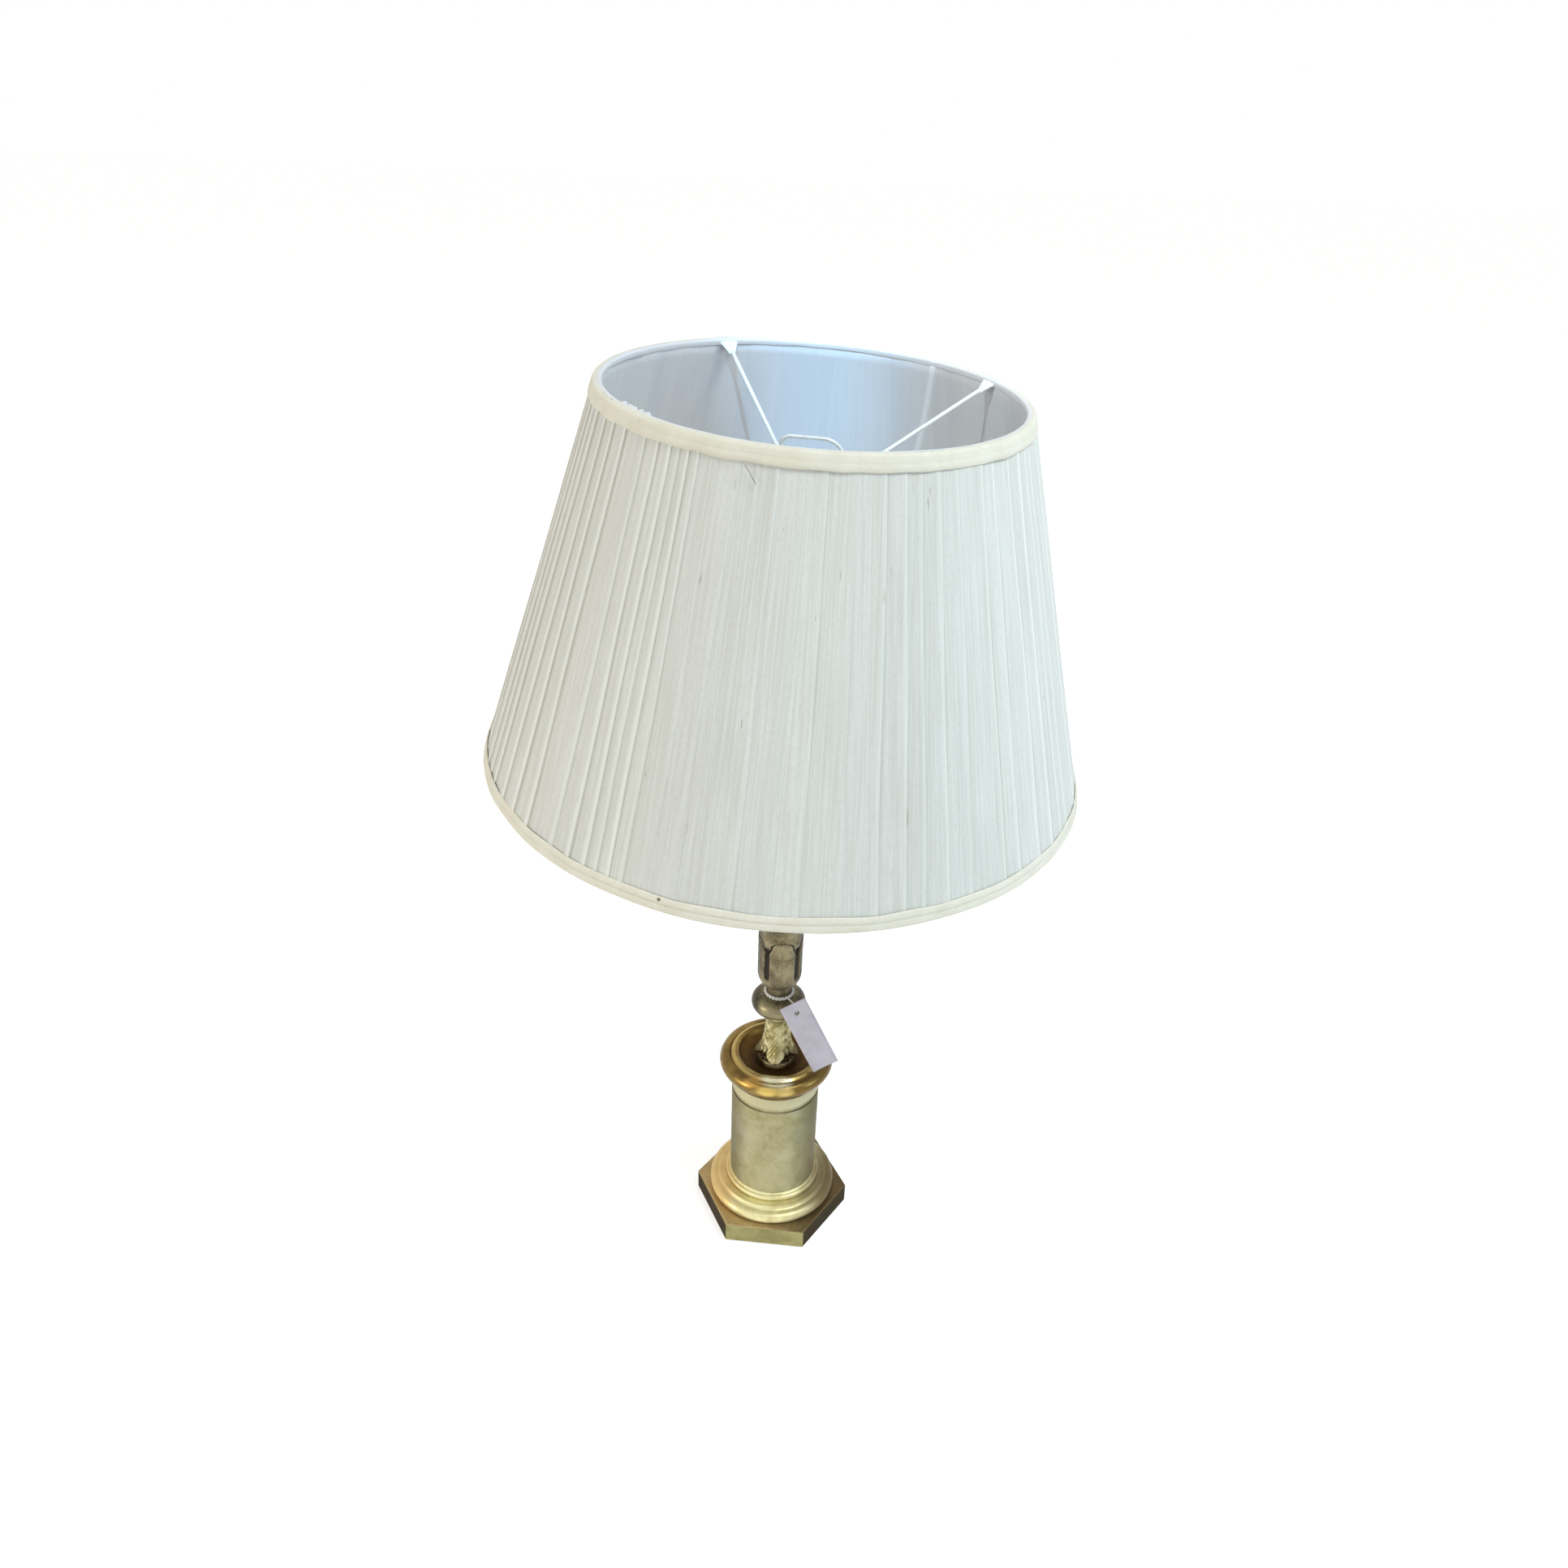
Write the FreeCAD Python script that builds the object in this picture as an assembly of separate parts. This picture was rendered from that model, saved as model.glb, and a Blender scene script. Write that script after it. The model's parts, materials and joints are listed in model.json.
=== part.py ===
import FreeCAD, Part
import math
import os

# Candlestick table lamp in millimetres: hexagonal plinth, turned column, leaf-cast stem, candle tube,
# bayonet lampholder, wire shade carrier and a pleated drum shade that leans with its carrier.
# +Z is up. The origin is the middle of the felt pad's underside, where the lamp stands.
# The plinth's flats face +Y and -Y, and its cord inlet is in the +Y flat.

# ---------------------------------------------------------------- driving dimensions

# clearances
SLIP = 0.3                       # radial play of a piece threaded over the tie rod
SPIGOT_PLAY = 0.2                # radial play of a locating spigot
RUNNING_PLAY = 0.08              # radial play of a sliding or turning fit
SEAT_GAP = 0.3                   # between bodies that rest on each other and move
SEWN_GAP = 0.15                  # between layers of the shade

# plinth, felt and ballast
FELT_THICKNESS = 1.5
FELT_INSET = 1.5
FELT_WIDTH = 14.5
PLINTH_ACROSS_CORNERS = 124.4
PLINTH_HEIGHT = 16.8
PLINTH_WALL = 4.0
PLINTH_DECK = 4.0
PLINTH_EDGE_ROUND = 1.2
BALLAST_RADIUS = 43.0
BALLAST_THICKNESS = 5.0
INLET_HEIGHT = 7.6
GROMMET_BORE_RADIUS = 3.2
GROMMET_NECK_RADIUS = 4.4
GROMMET_FLANGE_RADIUS = 5.4
GROMMET_FLANGE_THICKNESS = 1.2

# hollow threaded rod and its nuts
ROD_RADIUS = 5.0
ROD_BORE_RADIUS = 3.5
ROD_TAIL = 1.0
ROD_INTO_LAMPHOLDER = 7.0
NUT_ACROSS_FLATS = 14.0
NUT_THICKNESS = 3.0
WASHER_RADIUS = 12.0
WASHER_THICKNESS = 1.2

# turned moulding and foot ring
MOULDING_RADIUS = 51.0
MOULDING_ROUND_HEIGHT = 9.7
MOULDING_COVE_RADIUS = 42.5
MOULDING_COVE_HEIGHT = 3.0
MOULDING_COVE_DEPTH = 1.1
MOULDING_COVE_BEND = 0.36           # share of the cove's height where it is deepest
MOULDING_BORE_RADIUS = 26.0
FOOT_RING_RADIUS = 38.2
FOOT_RING_BEAD_HEIGHT = 4.8
FOOT_RING_STEP_HEIGHT = 1.2
FOOT_RING_STEP_OVERHANG = 1.2
FOOT_RING_DISC = 3.0
SPIGOT_HEIGHT = 4.0
SPIGOT_WALL = 3.0

# column
COLUMN_RADIUS = 34.5
COLUMN_WALL = 2.0
COLUMN_HEIGHT = 100.0
COLUMN_GROOVE_BELOW_TOP = 14.1
COLUMN_GROOVE_WIDTH = 1.2
COLUMN_GROOVE_DEPTH = 0.7

# capital with a dished top
CAPITAL_LIP_OVERHANG = 1.5
CAPITAL_LIP_HEIGHT = 1.6
CAPITAL_RADIUS = 44.4
CAPITAL_NECK_RADIUS = 38.0
CAPITAL_NECK_HEIGHT = 4.0
CAPITAL_NECK_COVE_RADIUS = 36.7
CAPITAL_NECK_COVE_HEIGHT = 2.2
CAPITAL_FLANK_RADIUS = 42.5
CAPITAL_FLANK_HEIGHT = 7.6
CAPITAL_WIDEST_HEIGHT = 12.6
CAPITAL_BROW_RADIUS = 42.1
CAPITAL_BROW_HEIGHT = 17.2
CAPITAL_SHOULDER_RADIUS = 37.0
CAPITAL_SHOULDER_HEIGHT = 19.2
CAPITAL_QUIRK = 0.8                # small step between the shoulder and the dish's crest
DISH_CREST_RADIUS = 32.0
DISH_CREST_HEIGHT = 20.4
DISH_CREST_OUTER_RADIUS = 34.6
DISH_CREST_OUTER_HEIGHT = 19.7
DISH_CREST_INNER_RADIUS = 29.6
DISH_CREST_INNER_HEIGHT = 19.4
DISH_SLOPE_RADIUS = 26.5
DISH_SLOPE_HEIGHT = 15.4
DISH_FLOOR_RADIUS = 21.0
DISH_FLOOR_HEIGHT = 13.0
CAPITAL_RECESS_RADIUS = 27.0
CAPITAL_RECESS_HEIGHT = 9.0

# leaf-cast vase between dish and knop
VASE_FOOT_RADIUS = 14.5
VASE_FOOT_HEIGHT = 3.2
VASE_UNDERCUT_RADIUS = 13.0
VASE_LEAF_TIP_RADIUS = 17.0
VASE_LEAF_TIP_HEIGHT = 6.5
VASE_FLARE_RADIUS = 11.35
VASE_FLARE_HEIGHT = 16.8
VASE_WAIST_RADIUS = 8.7
VASE_WAIST_HEIGHT = 35.0
VASE_COLLAR_RADIUS = 10.6
VASE_COLLAR_HEIGHT = 43.0
VASE_COLLAR_TOP_HEIGHT = 45.0
VASE_NECK_RADIUS = 7.6
VASE_NECK_LOW_HEIGHT = 46.5
VASE_HEIGHT = 48.5

# knop and waist
KNOP_RADIUS = 20.7
KNOP_HEIGHT = 15.0
KNOP_FLAT_RADIUS = 12.4
WAIST_RADIUS = 8.8
WAIST_HEIGHT = 10.5

# fluted stem
STEM_FOOT_RADIUS = 13.2
STEM_RADIUS = 16.5
STEM_SWELL_HEIGHT = 11.0
STEM_SWELL_BOW_RADIUS = 15.6
STEM_SWELL_BOW_HEIGHT = 5.0
STEM_FLUTE_TOP = 47.0
STEM_BAND_RADIUS = 15.8
STEM_BAND_HEIGHT = 19.0
STEM_BEAD_RADIUS = 17.6
STEM_BEAD_HEIGHT = 4.0
FLUTE_COUNT = 4
FLUTE_RADIUS = 3.4
FLUTE_DEPTH = 1.1
FLUTE_END_HEIGHT = 4.0

# drip pan, nozzle and candle tube
PAN_RADIUS = 27.0
PAN_HEIGHT = 7.5
PAN_WALL = 1.8
PAN_BELLY_RADIUS = 22.7
PAN_BELLY_HEIGHT = 3.0
PAN_BELLY_INNER_RADIUS = 21.8
PAN_BELLY_INNER_HEIGHT = 4.6
NOZZLE_FOOT_RADIUS = 12.0
NOZZLE_RADIUS = 16.5
NOZZLE_HEIGHT = 22.0
NOZZLE_FLOOR = 3.5
NOZZLE_BEAD = 1.5
NOZZLE_BOW_RADIUS = 14.4
NOZZLE_BOW_HEIGHT = 2.8
NOZZLE_FLANK_HEIGHT = 7.0
CANDLE_RADIUS = 12.5
CANDLE_WALL = 1.4
CANDLE_HEIGHT = 154.7

# lampholder
HOLDER_RADIUS = 17.0
HOLDER_WALL = 1.0
HOLDER_CAP_HEIGHT = 11.0
HOLDER_CAP_SEAT_RADIUS = 13.6
HOLDER_CAP_BOW_RADIUS = 16.1
HOLDER_CAP_BOW_HEIGHT = 4.6
HOLDER_CAP_RIM_HEIGHT = 1.0
HOLDER_BODY_HEIGHT = 34.0
HOLDER_SHOULDER_THICKNESS = 1.2
SKIRT_RADIUS = 14.0
SKIRT_WALL = 0.9
SKIRT_HEIGHT = 16.0
INSULATOR_RADIUS = 12.4
SWITCH_BAR_RADIUS = 3.2
SWITCH_BAR_LENGTH = 50.0
SWITCH_BAR_ROUND = 0.96
SWITCH_HEIGHT = 15.0
SWITCH_TRAVEL = 6.0
SHADE_RING_RADIUS = 16.5
SHADE_RING_HEIGHT = 5.0
PLUNGER_RADIUS = 1.9
PLUNGER_HEAD = 0.8
PLUNGER_LENGTH = 6.0
PLUNGER_SPACING = 10.4
PLUNGER_TRAVEL = 1.5
SPRING_LENGTH = 7.0
SPRING_WIRE = 0.5

# bulb
BULB_CAP_RADIUS = 10.95
BULB_CAP_LENGTH = 24.0
BULB_CAP_WALL = 0.6
BULB_CAP_PLAY = 0.24
BULB_CAP_BASE_THICKNESS = 2.0
BULB_CONTACT_RADIUS = 1.7
BULB_CONTACT_HEIGHT = 0.5
BULB_PIN_RADIUS = 1.0
BULB_PIN_REACH = 1.7
BULB_PIN_HEIGHT = 6.5
BULB_PIN_ROOM = 0.35
BULB_TWIST = 20.0
SLOT_STEPS = 8                     # round cuts that make up the level part of a J slot
BULB_RADIUS = 27.5
BULB_LENGTH = 97.0
BULB_GLASS_WALL = 1.0
BULB_NECK_RADIUS = 10.2
BULB_NECK_IN_CAP = 6.0
BULB_SHOULDER_ANGLE = -38.0        # where the round envelope turns into the straight neck
BULB_STEM_RADIUS = 4.0
BULB_STEM_HEIGHT = 34.0

# shade carrier: a flat ring on the lampholder and one bent wire hoop
CARRIER_RING_RADIUS = 17.2
CARRIER_RING_THICKNESS = 1.5
HOOP_WIRE_RADIUS = 1.1
HOOP_BELLY = 37.0
HOOP_TOP_HALF_WIDTH = 19.9
HOOP_LOOP_HEIGHT = 28.0
HOOP_SPLAY_HEIGHT = 34.0
HOOP_FOOT_LENGTH = 4.0
HOOP_ABOVE_BULB = 2.5
HOOP_COLLAR_HEIGHT = 2.0
HOOP_FOOT_BEND = 4.0
HOOP_SPLAY_BEND = 12.0
HOOP_SHOULDER_BEND = 3.0
HOOP_BELLY_BEND = 5.0
HOOP_SWAY_BEND = 6.0
HOOP_LEFT_BEND = 5.0
HOOP_RIGHT_BEND = 14.0
HOOP_TURN = 4.25
HOOP_TOP_SWAY = 3.5                # how far the loop above the gimbal ring is bent to one side
LEAN_ANGLE = 4.4
LEAN_TOWARDS = -50.6

# shade
SHADE_BOTTOM_RADIUS = 200.0
SHADE_TOP_RADIUS = 127.5
SHADE_HEIGHT = 243.0
SHADE_DROP_BELOW_CARRIER = 81.3
TRIM_THICKNESS = 0.5
TRIM_TOP_HEIGHT = 9.0
TRIM_BOTTOM_HEIGHT = 9.0
TRIM_INSIDE_HEIGHT = 4.0
COVER_THICKNESS = 0.8
LINING_THICKNESS = 0.5
RING_WIRE_RADIUS = 1.0
STRUT_RADIUS = 1.0
STRUT_COUNT = 6
STRUT_FIRST_ANGLE = 54.75
TAPE_THICKNESS = 0.3
TAPE_WIDTH = 14.0
TAPE_PLAY = 0.05
TAPE_SWELL = 0.07                  # extra room that the tape takes round the wire
GIMBAL_WIRE_RADIUS = 1.5
GIMBAL_PLAY = 0.6
ARM_RADIUS = 1.3
ARM_COUNT = 4
ARM_FIRST_ANGLE = 32.0

# paper tag on a string
STRING_RADIUS = 1.2
STRING_LINK_RADIUS = 0.6
STRING_BEND = 2.0
STRING_TURN = 1.2                  # bend where the string turns into the tag's hole
STRING_BEHIND_TAG = 2.2
STRING_THROUGH_TAG = 0.9
STRING_PLAY = 0.1
TAG_WIDTH = 21.0
TAG_LENGTH = 62.0
TAG_THICKNESS = 0.5
TAG_HOLE_RADIUS = 1.8
TAG_HOLE_FROM_TOP = 9.0
TAG_FACES = -77.0
TAG_SLANT = 25.5
TAG_TIP = 8.5
TAG_HANG_RADIUS = 24.6
TAG_HOLE_ANGLE = -50.0
TAG_HANG_DEPTH = 3.6

# ---------------------------------------------------------------- heights worked out from them

Z_PLINTH = FELT_THICKNESS
Z_MOULDING = Z_PLINTH + PLINTH_HEIGHT
Z_FOOT_RING = Z_MOULDING + MOULDING_ROUND_HEIGHT + MOULDING_COVE_HEIGHT
Z_COLUMN = Z_FOOT_RING + FOOT_RING_BEAD_HEIGHT + FOOT_RING_STEP_HEIGHT
Z_CAPITAL = Z_COLUMN + COLUMN_HEIGHT
Z_VASE = Z_CAPITAL + DISH_FLOOR_HEIGHT
Z_KNOP = Z_VASE + VASE_HEIGHT
Z_WAIST = Z_KNOP + KNOP_HEIGHT
Z_STEM = Z_WAIST + WAIST_HEIGHT
Z_BAND = Z_STEM + STEM_FLUTE_TOP
Z_BEAD = Z_BAND + STEM_BAND_HEIGHT
Z_PAN = Z_BEAD + STEM_BEAD_HEIGHT
Z_NOZZLE = Z_PAN + PAN_WALL
Z_CANDLE = Z_NOZZLE + NOZZLE_FLOOR
Z_HOLDER = Z_CANDLE + CANDLE_HEIGHT
Z_HOLDER_BODY = Z_HOLDER + HOLDER_CAP_HEIGHT
Z_CARRIER = Z_HOLDER_BODY + HOLDER_BODY_HEIGHT
Z_SHADE_RING = Z_CARRIER + CARRIER_RING_THICKNESS
Z_SKIRT_TOP = Z_CARRIER + SKIRT_HEIGHT
Z_BULB = Z_SHADE_RING + SEAT_GAP
Z_SHADE = Z_CARRIER - SHADE_DROP_BELOW_CARRIER
Z_SHADE_TOP = Z_SHADE + SHADE_HEIGHT

ROD_HOLE = ROD_RADIUS + SLIP
TAPED_RADIUS = RING_WIRE_RADIUS + TAPE_THICKNESS + TAPE_SWELL
RING_OFFSET = TRIM_THICKNESS + COVER_THICKNESS + 2 * SEWN_GAP + TAPED_RADIUS
LINING_OFFSET = RING_OFFSET + TAPED_RADIUS + SEWN_GAP
GIMBAL_RADIUS = HOOP_TOP_HALF_WIDTH + HOOP_WIRE_RADIUS + GIMBAL_PLAY + GIMBAL_WIRE_RADIUS

ORIGIN = FreeCAD.Vector(0, 0, 0)
UP = FreeCAD.Vector(0, 0, 1)

# ---------------------------------------------------------------- shapes that repeat


def vector(x, y, z):
    return FreeCAD.Vector(x, y, z)


def polar(radius, degrees, z):
    angle = math.radians(degrees)
    return vector(radius * math.cos(angle), radius * math.sin(angle), z)


def outline_edges(start, path, place):
    """Edges along a path of (u, v) points; a step of two points is an arc's middle and end."""
    edges = []
    at = start
    for step in path:
        if isinstance(step[0], tuple):
            edges.append(Part.Arc(place(at), place(step[0]), place(step[1])).toShape())
            at = step[1]
        else:
            edges.append(Part.makeLine(place(at), place(step)))
            at = step
    if at != start:
        edges.append(Part.makeLine(place(at), place(start)))
    return edges


def turned(start, *path):
    """A solid of revolution about Z from its outline in (radius, height)."""
    edges = outline_edges(start, path, lambda point: vector(point[0], 0, point[1]))
    return Part.Face(Part.Wire(edges)).revolve(ORIGIN, UP, 360)


def tube(outer, inner, low, high):
    return turned((inner, low), (outer, low), (outer, high), (inner, high))


def disc(radius, low, high):
    return Part.makeCylinder(radius, high - low, vector(0, 0, low))


def ring(radius, wire_radius, z):
    return Part.makeTorus(radius, wire_radius, vector(0, 0, z), UP)


def rod_between(start, end, radius):
    return Part.makeCylinder(radius, (end - start).Length, start, end - start)


def hexagon(circumradius, low, high):
    corners = [polar(circumradius, 60 * i, low) for i in range(6)]
    return Part.Face(Part.makePolygon(corners + corners[:1])).extrude(vector(0, 0, high - low))


def bent_wire(points, bends, radius):
    """Round wire along straight runs, with a tangent arc of the given bend radius at each inner point."""
    edges = []
    at = points[0]
    for before, corner, after, bend in zip(points, points[1:], points[2:], bends):
        back = (before - corner).normalize()
        ahead = (after - corner).normalize()
        half = 0.5 * math.acos(max(-1.0, min(1.0, back.dot(ahead))))
        reach = bend / math.tan(half)
        middle_way = (back + ahead).normalize() * (bend / math.sin(half) - bend)
        enter = corner + back * reach
        leave = corner + ahead * reach
        edges.append(Part.makeLine(at, enter))
        edges.append(Part.Arc(enter, corner + middle_way, leave).toShape())
        at = leave
    edges.append(Part.makeLine(at, points[-1]))
    path = Part.Wire(edges)
    section = Part.Wire(Part.makeCircle(radius, points[0], points[1] - points[0]))
    return path.makePipeShell([section], True, False)


def lean(shape):
    """Lean a shape built upright, with the carrier hoop and the shade, about the lampholder's ring."""
    angle = math.radians(LEAN_TOWARDS)
    leaned = shape.copy()
    leaned.rotate(vector(0, 0, Z_CARRIER), vector(-math.sin(angle), math.cos(angle), 0), LEAN_ANGLE)
    return leaned


def spread(shape, count, first=0.0):
    """Copies of a shape evenly round Z, as one group of solids."""
    copies = []
    for i in range(count):
        copy = shape.copy()
        copy.rotate(ORIGIN, UP, first + 360.0 * i / count)
        copies.append(copy)
    return Part.makeCompound(copies)


# ---------------------------------------------------------------- base


def felt_pad():
    outer = hexagon(PLINTH_ACROSS_CORNERS / 2 - FELT_INSET, 0, FELT_THICKNESS)
    inner = hexagon(PLINTH_ACROSS_CORNERS / 2 - FELT_INSET - FELT_WIDTH, 0, FELT_THICKNESS)
    return outer.cut(inner)


def inlet_axis_start():
    return vector(0, PLINTH_ACROSS_CORNERS / 2 * math.cos(math.pi / 6), INLET_HEIGHT)


def hex_plinth():
    radius = PLINTH_ACROSS_CORNERS / 2
    wall = PLINTH_WALL / math.cos(math.pi / 6)
    block = hexagon(radius, Z_PLINTH, Z_MOULDING)
    top_and_corners = [
        edge for edge in block.Edges
        if edge.BoundBox.ZMax > Z_MOULDING - PLINTH_EDGE_ROUND
    ]
    block = block.makeFillet(PLINTH_EDGE_ROUND, top_and_corners)
    hollow = hexagon(radius - wall, Z_PLINTH, Z_MOULDING - PLINTH_DECK)
    inlet = Part.makeCylinder(
        GROMMET_NECK_RADIUS + SPIGOT_PLAY, 4 * PLINTH_WALL,
        inlet_axis_start() + vector(0, PLINTH_WALL, 0), vector(0, -1, 0))
    return block.cut(hollow).cut(disc(ROD_HOLE, Z_PLINTH, Z_MOULDING)).cut(inlet)


def cord_grommet():
    outside = inlet_axis_start()
    through = PLINTH_WALL + 2 * GROMMET_FLANGE_THICKNESS
    start = outside + vector(0, GROMMET_FLANGE_THICKNESS, 0)
    inward = vector(0, -1, 0)
    neck = Part.makeCylinder(GROMMET_NECK_RADIUS, through, start, inward)
    flange = Part.makeCylinder(GROMMET_FLANGE_RADIUS, GROMMET_FLANGE_THICKNESS, start, inward)
    inner_flange = Part.makeCylinder(
        GROMMET_FLANGE_RADIUS, GROMMET_FLANGE_THICKNESS,
        outside - vector(0, PLINTH_WALL, 0), inward)
    bore = Part.makeCylinder(GROMMET_BORE_RADIUS, through, start, inward)
    return neck.fuse([flange, inner_flange]).removeSplitter().cut(bore)


def ballast_weight():
    high = Z_MOULDING - PLINTH_DECK
    return tube(BALLAST_RADIUS, ROD_HOLE, high - BALLAST_THICKNESS, high)


def bottom_washer():
    high = Z_MOULDING - PLINTH_DECK - BALLAST_THICKNESS
    return tube(WASHER_RADIUS, ROD_HOLE, high - WASHER_THICKNESS, high)


def nut(low):
    """Hexagon nut on the tie rod, its thread drawn as a plain hole of the rod's size."""
    body = hexagon(NUT_ACROSS_FLATS / 2 / math.cos(math.pi / 6), low, low + NUT_THICKNESS)
    return body.cut(disc(ROD_RADIUS + RUNNING_PLAY, low, low + NUT_THICKNESS))


def bottom_nut():
    return nut(Z_MOULDING - PLINTH_DECK - BALLAST_THICKNESS - WASHER_THICKNESS - NUT_THICKNESS)


def tie_rod():
    return tube(ROD_RADIUS, ROD_BORE_RADIUS, ROD_TAIL, Z_HOLDER + ROD_INTO_LAMPHOLDER)


def base_moulding():
    low = Z_MOULDING
    waist = low + MOULDING_ROUND_HEIGHT
    top = waist + MOULDING_COVE_HEIGHT
    belly = MOULDING_ROUND_HEIGHT / 2
    flank = MOULDING_RADIUS - belly
    cove_middle = ((flank + MOULDING_COVE_RADIUS) / 2 - MOULDING_COVE_DEPTH,
                   waist + MOULDING_COVE_HEIGHT * MOULDING_COVE_BEND)
    return turned(
        (MOULDING_BORE_RADIUS, low), (flank, low),
        ((MOULDING_RADIUS, low + belly), (flank, waist)),
        (cove_middle, (MOULDING_COVE_RADIUS, top)), (MOULDING_BORE_RADIUS, top))


def foot_ring():
    low = Z_FOOT_RING
    bead_top = low + FOOT_RING_BEAD_HEIGHT
    belly = FOOT_RING_BEAD_HEIGHT / 2
    flank = FOOT_RING_RADIUS - belly
    step = COLUMN_RADIUS + FOOT_RING_STEP_OVERHANG
    spigot = COLUMN_RADIUS - COLUMN_WALL - SPIGOT_PLAY
    return turned(
        (ROD_HOLE, low), (flank, low), ((FOOT_RING_RADIUS, low + belly), (flank, bead_top)),
        (step, bead_top), (step - FOOT_RING_STEP_OVERHANG, Z_COLUMN), (spigot, Z_COLUMN),
        (spigot, Z_COLUMN + SPIGOT_HEIGHT), (spigot - SPIGOT_WALL, Z_COLUMN + SPIGOT_HEIGHT),
        (spigot - SPIGOT_WALL, low + FOOT_RING_DISC), (ROD_HOLE, low + FOOT_RING_DISC))


def column():
    inner = COLUMN_RADIUS - COLUMN_WALL
    groove = Z_CAPITAL - COLUMN_GROOVE_BELOW_TOP
    half = COLUMN_GROOVE_WIDTH / 2
    return turned(
        (inner, Z_COLUMN), (COLUMN_RADIUS, Z_COLUMN), (COLUMN_RADIUS, groove - half),
        ((COLUMN_RADIUS - COLUMN_GROOVE_DEPTH, groove), (COLUMN_RADIUS, groove + half)),
        (COLUMN_RADIUS, Z_CAPITAL), (inner, Z_CAPITAL))


def capital_dish():
    low = Z_CAPITAL
    lip = COLUMN_RADIUS + CAPITAL_LIP_OVERHANG
    neck_cove = (CAPITAL_NECK_COVE_RADIUS, low + CAPITAL_NECK_COVE_HEIGHT)
    neck = (CAPITAL_NECK_RADIUS, low + CAPITAL_NECK_HEIGHT)
    flank = (CAPITAL_FLANK_RADIUS, low + CAPITAL_FLANK_HEIGHT)
    widest = (CAPITAL_RADIUS, low + CAPITAL_WIDEST_HEIGHT)
    brow = (CAPITAL_BROW_RADIUS, low + CAPITAL_BROW_HEIGHT)
    shoulder = (CAPITAL_SHOULDER_RADIUS, low + CAPITAL_SHOULDER_HEIGHT)
    quirk = (CAPITAL_SHOULDER_RADIUS - CAPITAL_QUIRK, low + CAPITAL_SHOULDER_HEIGHT - CAPITAL_QUIRK)
    crest_out = (DISH_CREST_OUTER_RADIUS, low + DISH_CREST_OUTER_HEIGHT)
    crest = (DISH_CREST_RADIUS, low + DISH_CREST_HEIGHT)
    crest_in = (DISH_CREST_INNER_RADIUS, low + DISH_CREST_INNER_HEIGHT)
    slope = (DISH_SLOPE_RADIUS, low + DISH_SLOPE_HEIGHT)
    floor = (DISH_FLOOR_RADIUS, low + DISH_FLOOR_HEIGHT)
    spigot = COLUMN_RADIUS - COLUMN_WALL - SPIGOT_PLAY
    roof = low + CAPITAL_RECESS_HEIGHT
    return turned(
        (spigot, low), (lip, low), (lip, low + CAPITAL_LIP_HEIGHT), (neck_cove, neck),
        (flank, widest), (brow, shoulder), quirk, crest_out, (crest, crest_in), (slope, floor),
        (ROD_HOLE, low + DISH_FLOOR_HEIGHT), (ROD_HOLE, roof), (CAPITAL_RECESS_RADIUS, roof),
        (CAPITAL_RECESS_RADIUS, low - SPIGOT_HEIGHT), (spigot, low - SPIGOT_HEIGHT))


# ---------------------------------------------------------------- stem


def leaf_vase():
    low = Z_VASE
    foot_top = low + VASE_FOOT_HEIGHT
    tip = (VASE_LEAF_TIP_RADIUS, low + VASE_LEAF_TIP_HEIGHT)
    waist = (VASE_WAIST_RADIUS, low + VASE_WAIST_HEIGHT)
    collar = (VASE_COLLAR_RADIUS, low + VASE_COLLAR_HEIGHT)
    flare = (VASE_FLARE_RADIUS, low + VASE_FLARE_HEIGHT)
    return turned(
        (ROD_HOLE, low), (VASE_FOOT_RADIUS, low), (VASE_FOOT_RADIUS, foot_top),
        (VASE_UNDERCUT_RADIUS, foot_top), tip, (flare, waist), collar,
        (VASE_COLLAR_RADIUS, low + VASE_COLLAR_TOP_HEIGHT),
        (VASE_NECK_RADIUS, low + VASE_NECK_LOW_HEIGHT),
        (VASE_NECK_RADIUS, low + VASE_HEIGHT), (ROD_HOLE, low + VASE_HEIGHT))


def knop():
    return turned(
        (ROD_HOLE, Z_KNOP), (KNOP_FLAT_RADIUS, Z_KNOP),
        ((KNOP_RADIUS, Z_KNOP + KNOP_HEIGHT / 2), (KNOP_FLAT_RADIUS, Z_WAIST)), (ROD_HOLE, Z_WAIST))


def waist_collar():
    return tube(WAIST_RADIUS, ROD_HOLE, Z_WAIST, Z_STEM)


def fluted_stem():
    swell = Z_STEM + STEM_SWELL_HEIGHT
    body = turned(
        (ROD_HOLE, Z_STEM), (STEM_FOOT_RADIUS, Z_STEM),
        ((STEM_SWELL_BOW_RADIUS, Z_STEM + STEM_SWELL_BOW_HEIGHT), (STEM_RADIUS, swell)),
        (STEM_RADIUS, Z_BAND), (STEM_BAND_RADIUS, Z_BAND), (STEM_BAND_RADIUS, Z_BEAD),
        ((STEM_BEAD_RADIUS, Z_BEAD + STEM_BEAD_HEIGHT / 2), (STEM_BAND_RADIUS, Z_PAN)),
        (ROD_HOLE, Z_PAN))
    middle = STEM_RADIUS + FLUTE_RADIUS - FLUTE_DEPTH
    low = polar(middle, 0, swell + FLUTE_END_HEIGHT)
    high = polar(middle, 0, Z_BAND - FLUTE_END_HEIGHT)
    flute = rod_between(low, high, FLUTE_RADIUS).fuse(
        [Part.makeSphere(FLUTE_RADIUS, low), Part.makeSphere(FLUTE_RADIUS, high)])
    return body.cut(spread(flute, FLUTE_COUNT, 360.0 / FLUTE_COUNT / 2))


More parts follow.
